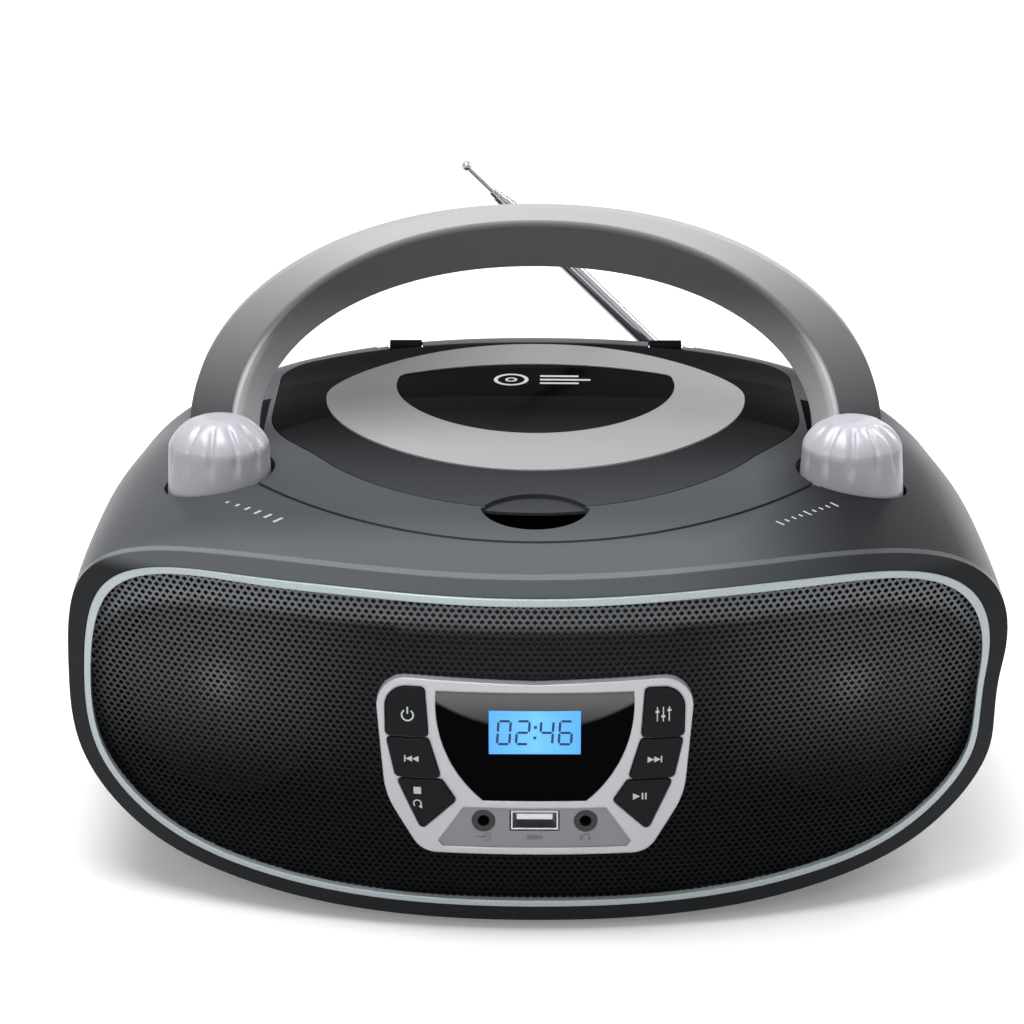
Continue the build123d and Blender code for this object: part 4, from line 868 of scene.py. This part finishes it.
def top_signs():
    """Growing bars beside the volume knob, a scale beside the other, a disc on the lid."""
    place = surface_of("top_shell")
    wedge, bars = [], 6
    for k in range(bars):
        t = k / (bars - 1)
        x, y = -96.5 + 17 * t, -41.5 - 17 * t
        wedge.append(rectangle(x, y, 1.1, 1.2 + 2.6 * t, radians(-45)))
    decal("sign_volume", wedge, place, "ink_pale", "cabinet")
    ticks, marks = [], 9
    for k in range(marks):
        t = k / (marks - 1)
        x, y = 75.5 + 18 * t, -60.5 + 17 * t
        ticks.append(rectangle(x, y, 0.7, 3.4 if k % 4 == 0 else 1.8, radians(45)))
    decal("sign_tuning", ticks, place, "ink_pale", "cabinet")
    glass = surface_of("lid_window")
    x, y = -8.2, 52.5
    disc = arc_band(x, y, 5.2, 1.3, 0, 360, 40) + arc_band(x, y, 1.6, 0.9, 0, 360, 20)
    for k, width in enumerate((13.0, 17.0, 13.0)):
        disc.append(rectangle(1.5 + width / 2, 56.0 - 3.5 * k, width, 1.6))
    decal("sign_disc", disc, glass, "ink_pale", "lid")


top_signs()


# Floor, lights and camera


def seen_directly(nodes, links):
    """1 for what the camera sees itself, in a reflection or through glass."""
    path = nodes.new("ShaderNodeLightPath")
    total = path.outputs["Is Camera Ray"]
    for name in ("Is Glossy Ray", "Is Transmission Ray"):
        more = nodes.new("ShaderNodeMath")
        more.operation = "MAXIMUM"
        links.new(total, more.inputs[0])
        links.new(path.outputs[name], more.inputs[1])
        total = more.outputs[0]
    return total


def floor():
    """A white floor that glows more with distance, so that the shadow stays near the feet."""
    size = 12.0
    seen_grey, lit_grey = 0.95, 0.35
    near, far, near_glow, far_glow = 0.17, 1.5, 0.18, 1.0
    corners = [(-size, -size, 0), (size, -size, 0), (size, size, 0), (-size, size, 0)]
    mesh = bpy.data.meshes.new("floor")
    mesh.from_pydata(corners, [], [(0, 1, 2, 3)])
    obj = bpy.data.objects.new("floor", mesh)
    bpy.context.collection.objects.link(obj)
    mat = bpy.data.materials.new("floor_white")
    mat.use_nodes = True
    nodes, links = mat.node_tree.nodes, mat.node_tree.links
    nodes.clear()
    out = nodes.new("ShaderNodeOutputMaterial")
    seen = nodes.new("ShaderNodeBsdfDiffuse")
    seen.inputs["Color"].default_value = (seen_grey, seen_grey, seen_grey, 1)
    bright = nodes.new("ShaderNodeEmission")
    both = nodes.new("ShaderNodeAddShader")
    lit = nodes.new("ShaderNodeBsdfDiffuse")
    lit.inputs["Color"].default_value = (lit_grey, lit_grey, lit_grey, 1)
    mix = nodes.new("ShaderNodeMixShader")
    links.new(seen_directly(nodes, links), mix.inputs["Fac"])
    coords = nodes.new("ShaderNodeTexCoord")
    away = nodes.new("ShaderNodeVectorMath")
    away.operation = "LENGTH"
    links.new(coords.outputs["Object"], away.inputs[0])
    grow = nodes.new("ShaderNodeMapRange")
    for name, number in zip(
        ("From Min", "From Max", "To Min", "To Max"), (near, far, near_glow, far_glow)
    ):
        grow.inputs[name].default_value = number
    links.new(away.outputs["Value"], grow.inputs["Value"])
    links.new(grow.outputs["Result"], bright.inputs["Strength"])
    links.new(seen.outputs[0], both.inputs[0])
    links.new(bright.outputs[0], both.inputs[1])
    links.new(lit.outputs[0], mix.inputs[1])
    links.new(both.outputs[0], mix.inputs[2])
    links.new(mix.outputs[0], out.inputs["Surface"])
    mesh.materials.append(mat)


def sky():
    """A grey sky that grows paler upwards, and is plain white where it is seen."""
    low_grey, high_grey, high_place = 0.08, 0.5, 0.8
    world = bpy.data.worlds.new("studio")
    bpy.context.scene.world = world
    world.use_nodes = True
    nodes, links = world.node_tree.nodes, world.node_tree.links
    back = nodes["Background"]
    coords = nodes.new("ShaderNodeTexCoord")
    split = nodes.new("ShaderNodeSeparateXYZ")
    ramp = nodes.new("ShaderNodeValToRGB")
    links.new(coords.outputs["Generated"], split.inputs[0])
    links.new(split.outputs["Z"], ramp.inputs["Fac"])
    low, high = ramp.color_ramp.elements
    low.position = 0.0
    low.color = (low_grey, low_grey, low_grey, 1)
    high.position = high_place
    high.color = (high_grey, high_grey, high_grey, 1)
    mix = nodes.new("ShaderNodeMix")
    mix.data_type = "RGBA"
    links.new(seen_directly(nodes, links), mix.inputs["Factor"])
    links.new(ramp.outputs["Color"], next(s for s in mix.inputs if s.identifier == "A_Color"))
    next(s for s in mix.inputs if s.identifier == "B_Color").default_value = (1, 1, 1, 1)
    links.new(next(s for s in mix.outputs if s.identifier == "Result_Color"), back.inputs["Color"])
    back.inputs["Strength"].default_value = 1.0


def lamp(name, place, target, width, height, power):
    data = bpy.data.lights.new(name, "AREA")
    data.shape = "RECTANGLE"
    data.size, data.size_y = width, height
    data.energy = power
    obj = bpy.data.objects.new(name, data)
    bpy.context.collection.objects.link(obj)
    obj.location = place
    aim = Vector(target) - Vector(place)
    obj.rotation_euler = aim.to_track_quat("-Z", "Y").to_euler()


floor()
sky()
lamp("overhead", (-0.18, -0.1, 1.25), (0, 0, 0.1), 1.0, 0.8, 15)
lamp("front_fill", (-0.5, -1.6, 0.9), (0, 0, 0.08), 0.9, 0.6, 5)
lamp("right_strip", (0.4, 0.25, 0.42), (0.14, 0, 0.09), 0.06, 0.4, 1.2)

SENSOR_MM = 36
PHOTO_PIXELS = 1024
FOCAL_PIXELS = 3650
LOOK_DOWN = 18.384
LOOK_LEFT = 0.3846
camera_data = bpy.data.cameras.new("camera")
camera_data.sensor_width = SENSOR_MM
camera_data.lens = SENSOR_MM * FOCAL_PIXELS / PHOTO_PIXELS
camera = bpy.data.objects.new("camera", camera_data)
bpy.context.collection.objects.link(camera)
camera.location = at(0, -1127.6, 478.4)
camera.rotation_euler = (radians(90 - LOOK_DOWN), 0, radians(LOOK_LEFT))
bpy.context.scene.camera = camera
bpy.context.scene.view_settings.view_transform = "Standard"
